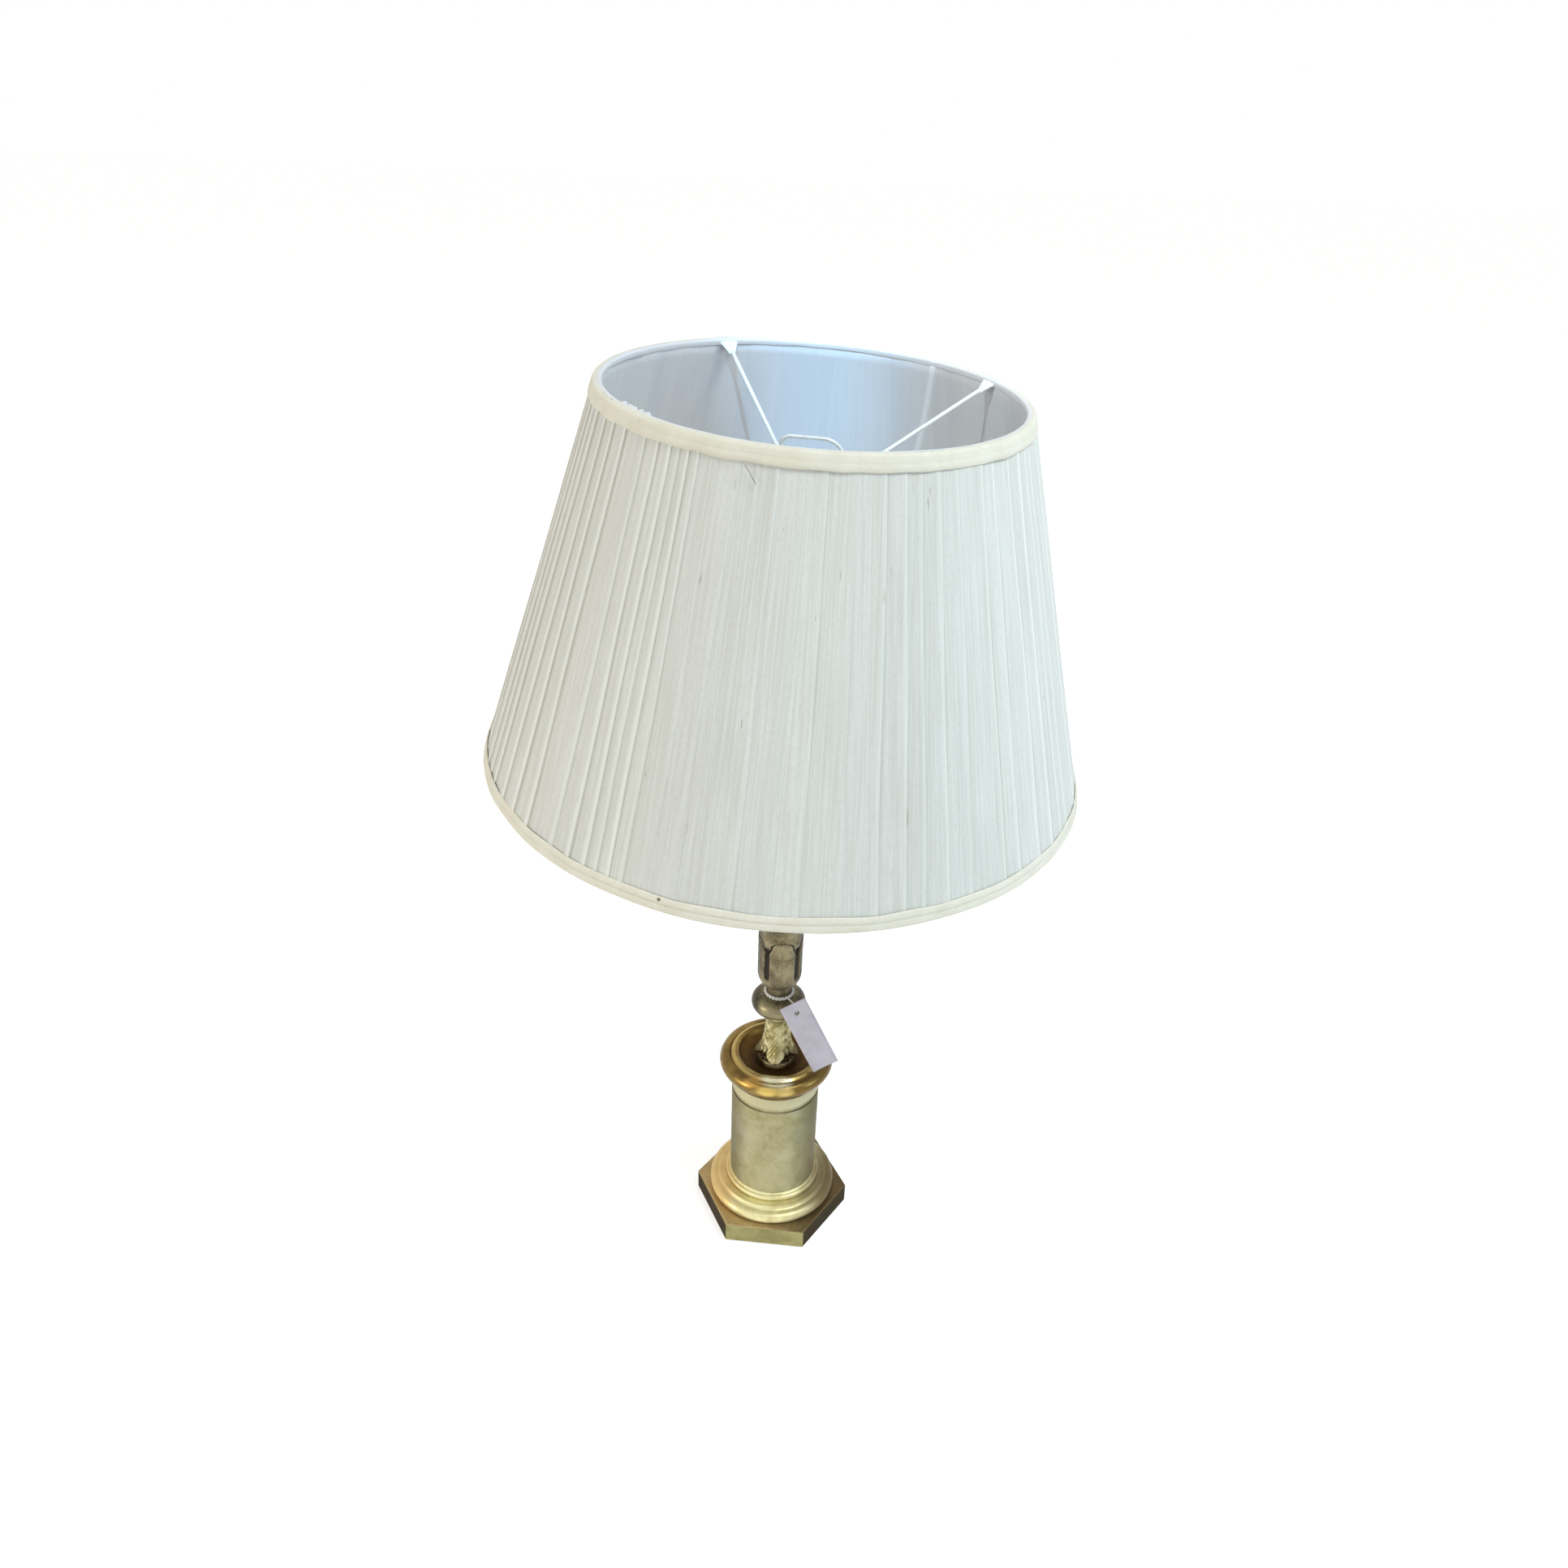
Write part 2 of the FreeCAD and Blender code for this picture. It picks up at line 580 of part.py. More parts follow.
def drip_pan():
    low = Z_PAN
    rim = (PAN_RADIUS, low + PAN_HEIGHT)
    rim_in = (PAN_RADIUS - PAN_WALL, low + PAN_HEIGHT)
    belly = (PAN_BELLY_RADIUS, low + PAN_BELLY_HEIGHT)
    belly_in = (PAN_BELLY_INNER_RADIUS, low + PAN_BELLY_INNER_HEIGHT)
    return turned(
        (ROD_HOLE, low), (STEM_BAND_RADIUS, low), (belly, rim), rim_in,
        (belly_in, (STEM_BAND_RADIUS, low + PAN_WALL)), (ROD_HOLE, low + PAN_WALL))


def candle_nozzle():
    low = Z_NOZZLE
    floor = Z_CANDLE
    top = low + NOZZLE_HEIGHT
    bore = CANDLE_RADIUS + SPIGOT_PLAY
    lip = top - 2 * NOZZLE_BEAD
    flank = NOZZLE_RADIUS - NOZZLE_BEAD
    return turned(
        (ROD_HOLE, low), (NOZZLE_FOOT_RADIUS, low),
        ((NOZZLE_BOW_RADIUS, low + NOZZLE_BOW_HEIGHT), (flank, low + NOZZLE_FLANK_HEIGHT)), (flank, lip),
        ((NOZZLE_RADIUS, lip + NOZZLE_BEAD), (flank, top)), (bore, top), (bore, floor),
        (ROD_HOLE, floor))


def candle_tube():
    return tube(CANDLE_RADIUS, CANDLE_RADIUS - CANDLE_WALL, Z_CANDLE, Z_HOLDER)


# ---------------------------------------------------------------- lampholder


def lampholder_cap():
    low = Z_HOLDER
    shoulder = Z_HOLDER_BODY - HOLDER_CAP_RIM_HEIGHT
    inner = HOLDER_RADIUS - HOLDER_WALL
    roof = low + HOLDER_WALL * 2
    seat = HOLDER_CAP_SEAT_RADIUS
    bow = (HOLDER_CAP_BOW_RADIUS, low + HOLDER_CAP_BOW_HEIGHT)
    bow_in = (HOLDER_CAP_BOW_RADIUS - HOLDER_WALL, low + HOLDER_CAP_BOW_HEIGHT + HOLDER_WALL)
    return turned(
        (ROD_HOLE, low), (seat, low), (bow, (HOLDER_RADIUS, shoulder)),
        (HOLDER_RADIUS, Z_HOLDER_BODY), (inner, Z_HOLDER_BODY), (inner, shoulder),
        (bow_in, (seat - HOLDER_WALL, roof)),
        (ROD_HOLE, roof))


def switch_middle():
    return vector(0, 0, Z_HOLDER_BODY + SWITCH_HEIGHT)


def switch_hole():
    reach = vector(HOLDER_RADIUS * 2, 0, 0)
    return rod_between(
        switch_middle() - reach, switch_middle() + reach, SWITCH_BAR_RADIUS + RUNNING_PLAY)


def lampholder_body():
    inner = HOLDER_RADIUS - HOLDER_WALL
    shoulder = Z_CARRIER - HOLDER_SHOULDER_THICKNESS
    mouth = SKIRT_RADIUS - SKIRT_WALL
    shell = turned(
        (inner, Z_HOLDER_BODY), (HOLDER_RADIUS, Z_HOLDER_BODY), (HOLDER_RADIUS, Z_CARRIER),
        (SKIRT_RADIUS, Z_CARRIER), (SKIRT_RADIUS, Z_SKIRT_TOP), (mouth, Z_SKIRT_TOP),
        (mouth, shoulder), (inner, shoulder))
    return shell.cut(switch_hole())


def plunger_seat():
    """Height of the spring pockets' floors in the insulator."""
    return Z_BULB - BULB_CONTACT_HEIGHT - SEAT_GAP - PLUNGER_HEAD - PLUNGER_LENGTH - SPRING_LENGTH


def contact_seat():
    """Height of the insulator's top, where the bulb socket also stands."""
    return Z_BULB - BULB_CONTACT_HEIGHT - 2 * SEAT_GAP - PLUNGER_HEAD - PLUNGER_TRAVEL


def plunger_middles(z):
    return [vector(0, side * PLUNGER_SPACING / 2, z) for side in (-1, 1)]


def lampholder_insulator():
    """Block that carries the contact plungers, standing on the lampholder's cap."""
    top = contact_seat()
    block = disc(INSULATOR_RADIUS, Z_HOLDER_BODY, top)
    floor = plunger_seat()
    pockets = [
        Part.makeCylinder(PLUNGER_RADIUS + RUNNING_PLAY, top - floor, middle)
        for middle in plunger_middles(floor)
    ]
    return block.cut(pockets[0].fuse(pockets[1:])).cut(switch_hole())


def insulator_foot():
    """Boss from the lampholder's cap up to the insulator, round the end of the tie rod."""
    return tube(
        INSULATOR_RADIUS, ROD_RADIUS + SPIGOT_PLAY, Z_HOLDER + 2 * HOLDER_WALL, Z_HOLDER_BODY)


def bulb_socket():
    """Sleeve with two J slots that take the bulb's pins."""
    inner = BULB_CAP_RADIUS + BULB_CAP_PLAY
    outer = SKIRT_RADIUS - SKIRT_WALL - SPIGOT_PLAY
    sleeve = tube(outer, inner, contact_seat(), Z_SKIRT_TOP)
    pin_z = Z_BULB + BULB_PIN_HEIGHT
    room = BULB_PIN_RADIUS + BULB_PIN_ROOM
    slots = []
    for side in (0, 180):
        for i in range(SLOT_STEPS + 1):
            angle = side + BULB_TWIST * i / SLOT_STEPS
            slots.append(Part.makeCylinder(
                room, 2 * outer, vector(0, 0, pin_z), polar(1, angle, 0)))
        entry = Part.makeBox(2 * outer, 2 * room, SKIRT_HEIGHT, vector(0, -room, pin_z))
        entry.rotate(ORIGIN, UP, side + BULB_TWIST)
        slots.append(entry)
    return sleeve.cut(slots[0].fuse(slots[1:]))


def contact_plungers():
    high = Z_BULB - BULB_CONTACT_HEIGHT - SEAT_GAP
    low = high - PLUNGER_HEAD - PLUNGER_LENGTH
    pins = [Part.makeCylinder(PLUNGER_RADIUS, high - low, middle) for middle in plunger_middles(low)]
    return Part.makeCompound(pins)


def contact_springs():
    """Plain sleeves for the two small springs hidden under the plungers."""
    outer = PLUNGER_RADIUS - RUNNING_PLAY
    springs = []
    for middle in plunger_middles(plunger_seat()):
        sleeve = Part.makeCylinder(outer, SPRING_LENGTH, middle)
        springs.append(sleeve.cut(Part.makeCylinder(outer - SPRING_WIRE, SPRING_LENGTH, middle)))
    return Part.makeCompound(springs)


def switch_bar():
    """Push bar, drawn pushed in from its +X end, half its travel off the middle."""
    middle = switch_middle() - vector(SWITCH_TRAVEL / 2, 0, 0)
    half = vector(SWITCH_BAR_LENGTH / 2, 0, 0)
    bar = rod_between(middle - half, middle + half, SWITCH_BAR_RADIUS)
    return bar.makeFillet(SWITCH_BAR_ROUND, [edge for edge in bar.Edges if edge.Closed])


def shade_ring():
    bore = SKIRT_RADIUS + RUNNING_PLAY
    return tube(SHADE_RING_RADIUS, bore, Z_SHADE_RING, Z_SHADE_RING + SHADE_RING_HEIGHT)


# ---------------------------------------------------------------- bulb


def bulb_cap():
    low = Z_BULB
    high = low + BULB_CAP_LENGTH
    inner = BULB_CAP_RADIUS - BULB_CAP_WALL
    floor = low + BULB_CAP_BASE_THICKNESS
    cup = turned(
        (0, low), (BULB_CAP_RADIUS, low), (BULB_CAP_RADIUS, high), (inner, high), (inner, floor),
        (0, floor))
    pin_reach = BULB_CAP_RADIUS + BULB_PIN_REACH
    pin = rod_between(
        polar(inner, 0, low + BULB_PIN_HEIGHT), polar(pin_reach, 0, low + BULB_PIN_HEIGHT),
        BULB_PIN_RADIUS)
    contacts = [
        Part.makeCylinder(BULB_CONTACT_RADIUS, BULB_CONTACT_HEIGHT, middle)
        for middle in plunger_middles(low - BULB_CONTACT_HEIGHT)
    ]
    return cup.fuse([pin, pin.mirror(ORIGIN, vector(1, 0, 0))] + contacts)


def bulb_glass():
    """Pear-shaped envelope whose neck stands in the cap."""
    cap_top = Z_BULB + BULB_CAP_LENGTH
    top = Z_BULB + BULB_LENGTH
    middle = top - BULB_RADIUS
    neck_low = cap_top - BULB_NECK_IN_CAP
    leave = math.radians(BULB_SHOULDER_ANGLE)
    side = (BULB_RADIUS * math.cos(leave), middle + BULB_RADIUS * math.sin(leave))
    inner = BULB_RADIUS - BULB_GLASS_WALL
    inner_side = (inner * math.cos(leave), middle + inner * math.sin(leave))
    neck = BULB_NECK_RADIUS
    neck_in = neck - BULB_GLASS_WALL
    return turned(
        (neck_in, neck_low), (neck, neck_low), (neck, cap_top),
        side, ((BULB_RADIUS, middle), (0, top)), (0, top - BULB_GLASS_WALL),
        ((inner, middle), inner_side), (neck_in, cap_top))


def bulb_stem():
    low = Z_BULB + BULB_CAP_BASE_THICKNESS
    return disc(BULB_STEM_RADIUS, low, low + BULB_CAP_LENGTH + BULB_STEM_HEIGHT)


# ---------------------------------------------------------------- shade carrier


def carrier_ring():
    return tube(CARRIER_RING_RADIUS, SKIRT_RADIUS + SLIP, Z_CARRIER, Z_SHADE_RING)


def gimbal_height():
    """Height of the shade's gimbal ring above the lampholder's ring, before the lean."""
    return hoop_shoulder() + HOOP_WIRE_RADIUS + SEAT_GAP + GIMBAL_WIRE_RADIUS


def hoop_shoulder():
    return Z_BULB + BULB_LENGTH + HOOP_ABOVE_BULB


def carrier_hoop():
    foot = CARRIER_RING_RADIUS + HOOP_WIRE_RADIUS + SEAT_GAP
    splay = Z_CARRIER + HOOP_FOOT_LENGTH
    widest = splay + HOOP_SPLAY_HEIGHT
    shoulder = hoop_shoulder()
    top = gimbal_height() + HOOP_LOOP_HEIGHT
    side = [
        (foot, Z_CARRIER), (foot, splay), (HOOP_BELLY, widest), (HOOP_BELLY, shoulder),
        (HOOP_TOP_HALF_WIDTH, shoulder), (HOOP_TOP_HALF_WIDTH, gimbal_height())]
    loop = [vector(HOOP_TOP_SWAY + x, 0, top) for x in (-HOOP_TOP_HALF_WIDTH, HOOP_TOP_HALF_WIDTH)]
    points = [vector(-x, 0, z) for x, z in side] + loop + [vector(x, 0, z) for x, z in reversed(side)]
    bends = [HOOP_FOOT_BEND, HOOP_SPLAY_BEND, HOOP_BELLY_BEND, HOOP_SHOULDER_BEND, HOOP_SWAY_BEND]
    corners = bends + [HOOP_LEFT_BEND, HOOP_RIGHT_BEND] + bends[::-1]
    hoop = bent_wire(points, corners, HOOP_WIRE_RADIUS)
    hoop.rotate(ORIGIN, UP, HOOP_TURN)
    collar = tube(
        CARRIER_RING_RADIUS + RUNNING_PLAY, SKIRT_RADIUS,
        Z_CARRIER - HOOP_COLLAR_HEIGHT, Z_SHADE_RING + HOOP_COLLAR_HEIGHT)
    return lean(hoop).cut(collar)


# ---------------------------------------------------------------- shade


def shade_radius(z):
    """Outer radius of the shade, trims included, at a height before the lean."""
    share = (z - Z_SHADE) / SHADE_HEIGHT
    return SHADE_BOTTOM_RADIUS + (SHADE_TOP_RADIUS - SHADE_BOTTOM_RADIUS) * share


def shade_layer(offset, thickness, low, high):
    """Tapered layer whose outside lies an offset inside the shade's outer surface."""
    return turned(
        (shade_radius(low) - offset, low), (shade_radius(high) - offset, high),
        (shade_radius(high) - offset - thickness, high), (shade_radius(low) - offset - thickness, low))


def ring_place(edge):
    """Radius and height of the frame ring near the bottom (-1) or top (+1) edge."""
    inset = TRIM_THICKNESS + SEWN_GAP + TAPE_THICKNESS + RING_WIRE_RADIUS
    z = Z_SHADE + inset if edge < 0 else Z_SHADE_TOP - inset
    return shade_radius(z) - RING_OFFSET, z


def frame_ring(edge, extra=0.0):
    radius, z = ring_place(edge)
    return ring(radius, RING_WIRE_RADIUS + extra, z)


def gimbal_ring(extra=0.0):
    return lean(ring(GIMBAL_RADIUS, GIMBAL_WIRE_RADIUS + extra, gimbal_height()))


def arm_rod(index, radius):
    angle = ARM_FIRST_ANGLE + 360.0 * index / ARM_COUNT
    top_radius, top_z = ring_place(1)
    return rod_between(
        polar(GIMBAL_RADIUS, angle, gimbal_height()), polar(top_radius, angle, top_z), radius)


def gimbal_arm(index):
    """Straight arm from the gimbal ring out to the shade's top ring."""
    arm = lean(arm_rod(index, ARM_RADIUS)).cut(gimbal_ring(SPIGOT_PLAY / 2))
    return arm.cut(lean(frame_ring(1, TAPE_THICKNESS + SPIGOT_PLAY / 2)))


def arm_holes():
    rods = [arm_rod(i, ARM_RADIUS + SLIP) for i in range(ARM_COUNT)]
    return rods[0].fuse(rods[1:])


def arm_tapes():
    """Short wraps of tape round the top ring, one at each arm."""
    radius, z = ring_place(1)
    outer, inner = [
        Part.Face(Part.Wire(Part.makeCircle(size, vector(radius, 0, z), vector(0, 1, 0))))
        for size in (RING_WIRE_RADIUS + TAPE_THICKNESS, RING_WIRE_RADIUS + TAPE_PLAY)
    ]
    arc = math.degrees(TAPE_WIDTH / radius)
    wrap = outer.cut(inner).revolve(ORIGIN, UP, arc)
    wrap.rotate(ORIGIN, UP, -arc / 2)
    return lean(spread(wrap, ARM_COUNT, ARM_FIRST_ANGLE))


def shade_struts():
    low_radius, low_z = ring_place(-1)
    high_radius, high_z = ring_place(1)
    strut = rod_between(vector(low_radius, 0, low_z), vector(high_radius, 0, high_z), STRUT_RADIUS)
    for edge in (-1, 1):
        strut = strut.cut(frame_ring(edge, SPIGOT_PLAY / 2))
    return lean(spread(strut, STRUT_COUNT, STRUT_FIRST_ANGLE))


def shade_cover():
    margin = TRIM_THICKNESS + SEWN_GAP
    return lean(shade_layer(
        TRIM_THICKNESS + SEWN_GAP, COVER_THICKNESS, Z_SHADE + margin, Z_SHADE_TOP - margin))


def shade_lining():
    margin = TRIM_THICKNESS + SEWN_GAP
    layer = shade_layer(LINING_OFFSET, LINING_THICKNESS, Z_SHADE + margin, Z_SHADE_TOP - margin)
    return lean(layer.cut(arm_holes()))


def edge_trim(edge, outside_height):
    """Strip folded over an edge of the shade: outside leg, web on the edge, inside leg."""
    rim = Z_SHADE if edge < 0 else Z_SHADE_TOP
    inner = LINING_OFFSET + LINING_THICKNESS + SEWN_GAP
    web = rim - edge * TRIM_THICKNESS
    outside = rim - edge * outside_height
    inside = rim - edge * TRIM_INSIDE_HEIGHT
    corners = [
        (0, outside), (0, rim), (inner + TRIM_THICKNESS, rim), (inner + TRIM_THICKNESS, inside),
        (inner, inside), (inner, web), (TRIM_THICKNESS, web), (TRIM_THICKNESS, outside)]
    outline = [(shade_radius(z) - offset, z) for offset, z in corners]
    return turned(*outline)


def top_trim():
    return lean(edge_trim(1, TRIM_TOP_HEIGHT).cut(arm_holes()))


def bottom_trim():
    return lean(edge_trim(-1, TRIM_BOTTOM_HEIGHT))


# ---------------------------------------------------------------- tag


def waist_string():
    return ring(WAIST_RADIUS + SLIP + STRING_RADIUS, STRING_RADIUS, Z_WAIST + STRING_RADIUS + STRING_PLAY)


def tag_hole_place():
    return polar(TAG_HANG_RADIUS, TAG_HOLE_ANGLE, Z_WAIST - TAG_HANG_DEPTH)


def tag_place():
    """Where the tag hangs, from its own plane: hole at the origin, length along -Z, back towards +Y."""
    turn = FreeCAD.Rotation(UP, TAG_FACES + 90)
    tip = FreeCAD.Rotation(vector(1, 0, 0), -TAG_TIP)
    slant = FreeCAD.Rotation(vector(0, 1, 0), -TAG_SLANT)
    return FreeCAD.Placement(tag_hole_place(), turn * tip * slant)


def paper_tag():
    card = Part.makeBox(
        TAG_WIDTH, TAG_THICKNESS, TAG_LENGTH,
        vector(-TAG_WIDTH / 2, -TAG_THICKNESS / 2, TAG_HOLE_FROM_TOP - TAG_LENGTH))
    through = vector(0, 2 * TAG_THICKNESS, 0)
    tag = card.cut(rod_between(-through, through, TAG_HOLE_RADIUS))
    tag.Placement = tag_place()
    return tag


def string_link():
    """End of the string, from the loop on the waist over the knop's shoulder and through the tag's hole."""
    high = Z_WAIST + STRING_RADIUS + STRING_LINK_RADIUS
    loop_edge = WAIST_RADIUS + SLIP + 2 * STRING_RADIUS + SEAT_GAP
    start = polar(loop_edge + STRING_LINK_RADIUS, TAG_HOLE_ANGLE, high)
    corner = polar(KNOP_RADIUS + STRING_LINK_RADIUS, TAG_HOLE_ANGLE, high)
    hooked = TAG_HOLE_RADIUS - STRING_LINK_RADIUS - SEAT_GAP
    behind = tag_place().multVec(vector(0, STRING_BEHIND_TAG, hooked))
    end = tag_place().multVec(vector(0, -STRING_THROUGH_TAG, hooked))
    return bent_wire([start, corner, behind, end], [STRING_BEND, STRING_TURN], STRING_LINK_RADIUS)


# ---------------------------------------------------------------- write the pieces

PIECES = {
    "felt_pad": felt_pad(),
    "hex_plinth": hex_plinth(),
    "cord_grommet": cord_grommet(),
    "ballast_weight": ballast_weight(),
    "bottom_washer": bottom_washer(),
    "bottom_nut": bottom_nut(),
    "tie_rod": tie_rod(),
    "base_moulding": base_moulding(),
    "foot_ring": foot_ring(),
    "column": column(),
    "capital_dish": capital_dish(),
    "leaf_vase": leaf_vase(),
    "knop": knop(),
    "waist_collar": waist_collar(),
    "fluted_stem": fluted_stem(),
    "drip_pan": drip_pan(),
    "candle_nozzle": candle_nozzle(),
    "stem_lock_nut": nut(Z_CANDLE),
    "candle_tube": candle_tube(),
    "lampholder_cap": lampholder_cap(),
    "lampholder_body": lampholder_body(),
    "insulator_foot": insulator_foot(),
    "lampholder_insulator": lampholder_insulator(),
    "bulb_socket": bulb_socket(),
    "contact_plungers": contact_plungers(),
    "contact_springs": contact_springs(),
    "switch_bar": switch_bar(),
    "shade_ring": shade_ring(),
    "bulb_cap": bulb_cap(),
    "bulb_glass": bulb_glass(),
    "bulb_stem": bulb_stem(),
    "carrier_ring": carrier_ring(),
    "carrier_hoop": carrier_hoop(),
    "gimbal_ring": gimbal_ring(),
    "top_ring": lean(frame_ring(1)),
    "bottom_ring": lean(frame_ring(-1)),
    "shade_struts": shade_struts(),
    "arm_tapes": arm_tapes(),
    "shade_cover": shade_cover(),
    "shade_lining": shade_lining(),
    "top_trim": top_trim(),
    "bottom_trim": bottom_trim(),
    "waist_string": waist_string(),
    "string_link": string_link(),
    "paper_tag": paper_tag(),
}
for number in range(ARM_COUNT):
    PIECES[f"gimbal_arm_{number + 1}"] = gimbal_arm(number)

os.makedirs("parts", exist_ok=True)
for name, shape in PIECES.items():
    shape.exportStep(f"parts/{name}.step")
    print(f"{name}: {len(shape.Solids)} solid, {shape.Volume / 1000:.2f} cm3, valid {shape.isValid()}")
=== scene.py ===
import json
import math

import bpy
import numpy as np
from mathutils import Matrix, Vector


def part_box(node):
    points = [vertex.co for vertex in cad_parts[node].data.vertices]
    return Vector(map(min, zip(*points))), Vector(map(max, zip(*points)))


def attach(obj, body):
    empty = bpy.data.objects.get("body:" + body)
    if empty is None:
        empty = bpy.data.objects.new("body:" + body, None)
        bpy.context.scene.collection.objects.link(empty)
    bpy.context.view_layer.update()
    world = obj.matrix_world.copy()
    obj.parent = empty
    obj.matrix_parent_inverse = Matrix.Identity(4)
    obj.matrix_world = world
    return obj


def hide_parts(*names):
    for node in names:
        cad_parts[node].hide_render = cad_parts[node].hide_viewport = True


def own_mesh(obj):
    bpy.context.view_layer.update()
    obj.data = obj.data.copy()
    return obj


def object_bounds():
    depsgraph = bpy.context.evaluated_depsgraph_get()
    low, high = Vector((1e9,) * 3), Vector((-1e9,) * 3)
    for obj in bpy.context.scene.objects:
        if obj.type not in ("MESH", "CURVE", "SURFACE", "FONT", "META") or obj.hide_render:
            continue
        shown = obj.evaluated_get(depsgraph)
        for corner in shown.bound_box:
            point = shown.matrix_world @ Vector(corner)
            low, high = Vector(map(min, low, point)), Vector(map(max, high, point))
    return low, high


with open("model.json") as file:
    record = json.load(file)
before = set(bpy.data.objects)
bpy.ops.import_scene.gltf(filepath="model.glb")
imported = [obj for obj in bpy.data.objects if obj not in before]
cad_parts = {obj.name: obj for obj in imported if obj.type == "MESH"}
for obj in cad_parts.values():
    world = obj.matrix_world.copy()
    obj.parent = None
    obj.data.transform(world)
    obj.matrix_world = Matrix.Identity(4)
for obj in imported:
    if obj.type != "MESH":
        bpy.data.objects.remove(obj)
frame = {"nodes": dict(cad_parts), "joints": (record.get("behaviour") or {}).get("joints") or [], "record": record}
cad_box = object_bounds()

# Looks of a candlestick table lamp: aged brass base, leaf-cast vase and stem, and a pleated silk
# drum shade that leans with its wire carrier. Lengths are in metres unless a name says otherwise.

MM = 0.001

# ---------------------------------------------------------------- camera, as in the photograph

CAMERA_PLACE = (0.05405, -0.72727, 0.78539)
CAMERA_YAW = 4.42            # degrees turned left from +Y
CAMERA_DOWN = 28.26          # degrees below the horizon
CAMERA_ROLL = 2.19           # degrees turned anticlockwise
CAMERA_LENS = 27.50          # millimetres on a sensor 36 wide

# ---------------------------------------------------------------- sizes of what is made here

FRONT = -85.75               # degrees round Z at which the lamp faces the camera

# folds of the knife pleats that face the camera: degrees from the front, share of the full depth
FRONT_PLEATS = ((-76.9, 0.9), (-71.7, 1.0), (-68.0, 0.8), (-64.4, 1.0), (-59.0, 0.95), (-54.2, 1.0),
                (-49.0, 0.9), (-41.5, 0.6), (-37.2, 0.8), (-33.5, 0.85), (-31.0, 0.65), (-28.4, 0.8),
                (-25.8, 0.55), (-21.0, 0.25), (-16.4, 0.3), (-11.6, 0.22), (-6.9, 0.4), (-1.2, 0.2),
                (3.8, 0.42), (10.4, 0.25), (16.9, 0.48), (21.8, 0.5), (25.5, 0.42), (30.2, 0.48), (35.2, 0.4),
                (39.4, 0.3), (43.0, 0.55), (47.2, 0.6), (53.6, 0.7), (58.9, 0.9), (63.5, 0.7))
PLEAT_WIDTHS = (3.0, 5.4)    # narrowest and widest pleat round the back, in degrees
PLEAT_DEPTH = 1.0 * MM
PLEAT_SLOPE = 2.4            # degrees over which the cloth rises to a fold
PLEAT_FOLD = 0.42            # degrees over which it drops behind the fold
PLEAT_STEP = 1.2             # degrees between points where the cloth lies flat
# share of the slope or the fold, share of the rise, and how far the painted shade or highlight goes from its
# middle
PLEAT_RISE = ((1.0, 0.0, 0.0), (0.66, 0.28, 0.05), (0.33, 0.66, 0.25), (0.1, 0.94, 0.5), (0.0, 1.0, 0.5))
PLEAT_DROP = ((0.25, 0.8, 0.3), (0.6, 0.2, -0.4), (0.9, 0.0, -0.5), (1.5, 0.0, -0.25))
PLEAT_LEAST = 0.45           # smallest share of the full depth round the back
PLEAT_HELD = 16 * MM         # length over which the trims press the pleats flat
PLEAT_PRESSED = 0.35         # share of the depth that stays under the trims
COVER_ROWS = 34
CLOTH_THICKNESS = 0.3 * MM
CLOTH_CYLINDER = 0.16        # radius on which the weave of cover, lining and trims is laid out
COVER_OFFSET = 0.65 * MM     # of the pleats' ridges inside the trim's outer face

LINING_OFFSET = 4.5 * MM     # of the lining's outer face inside the trim's outer face
LINING_COLS, LINING_ROWS = 720, 26
PUCKER_COUNT = 60
PUCKER_DEPTH = 0.6 * MM
PUCKER_WIDTHS = (1.2, 4.5)   # degrees
PUCKER_FADE = 1.5            # how fast a pucker fades down its reach
SEAM_TOP, SEAM_TURN = 55.4, 95.0   # degrees round Z at the top edge, and per metre down
SEAM_WIDTH = 5.0 * MM
SEAM_HEIGHT = 0.5 * MM
SEAM_EDGE = 1.0 * MM

TRIM_COLS = 540
TRIM_CLOTH = 0.5 * MM
TRIM_ROUND = 1.7 * MM
TRIM_WAVE = 0.3 * MM
TRIM_TUCKS = 26
TUCK_WIDTHS = (0.35, 0.9)    # degrees
TRIM_TUCK_HEIGHT = 0.3 * MM
TRIM_CREASE = 0.35 * MM      # depth of the line along the middle of a trim
FRONT_TUCKS = (-27.5, -25.0, -15.5)    # degrees from the front
HEM_TUCKS = (-55.5, -52.5, -50.5, -47.5, -45.0)   # where the inner hem has come up in lumps
FRONT_TUCK_WIDTH, HEM_TUCK_WIDTH = 0.45, 0.8      # degrees
HEM_LUMP_IN, HEM_LUMP_UP = 1.3 * MM, 1.0 * MM
THREAD_FROM, THREAD_TO = (-14.9, 650.5), (-11.9, 642.5)   # loose thread: degrees from the front, mm up
THREAD_RADIUS = 0.22 * MM
MARK_TURN, MARK_HEIGHT = -19.0, 425.0 * MM   # dark thread end on the lower trim

TAB_HALF_WIDTH = 8.5 * MM
TAB_RIM_OFFSET = 1.6 * MM    # of the tab's upper edge inside the rim
TAB_REACH = 11.0 * MM
TAB_TIP_HALF = 1.6 * MM
TAB_CLOTH = 0.4 * MM

TAG_HOLE_DOWN, TAG_HOLE_RADIUS = 9.0 * MM, 1.8 * MM
TAG_CARD = 0.45 * MM
STRING_PLY, STRING_TWIST = 0.72 * MM, 5.2 * MM   # radius of a ply, length of one turn of the two plies
LINK_PLY, LINK_TWIST = 0.34 * MM, 3.6 * MM       # the same for the tag's thinner string
LINK_BEHIND = 3.1 * MM       # how far behind its front end that string comes down to the card
SHOULDER_RADIUS = 21.3 * MM  # at which it passes over the knop

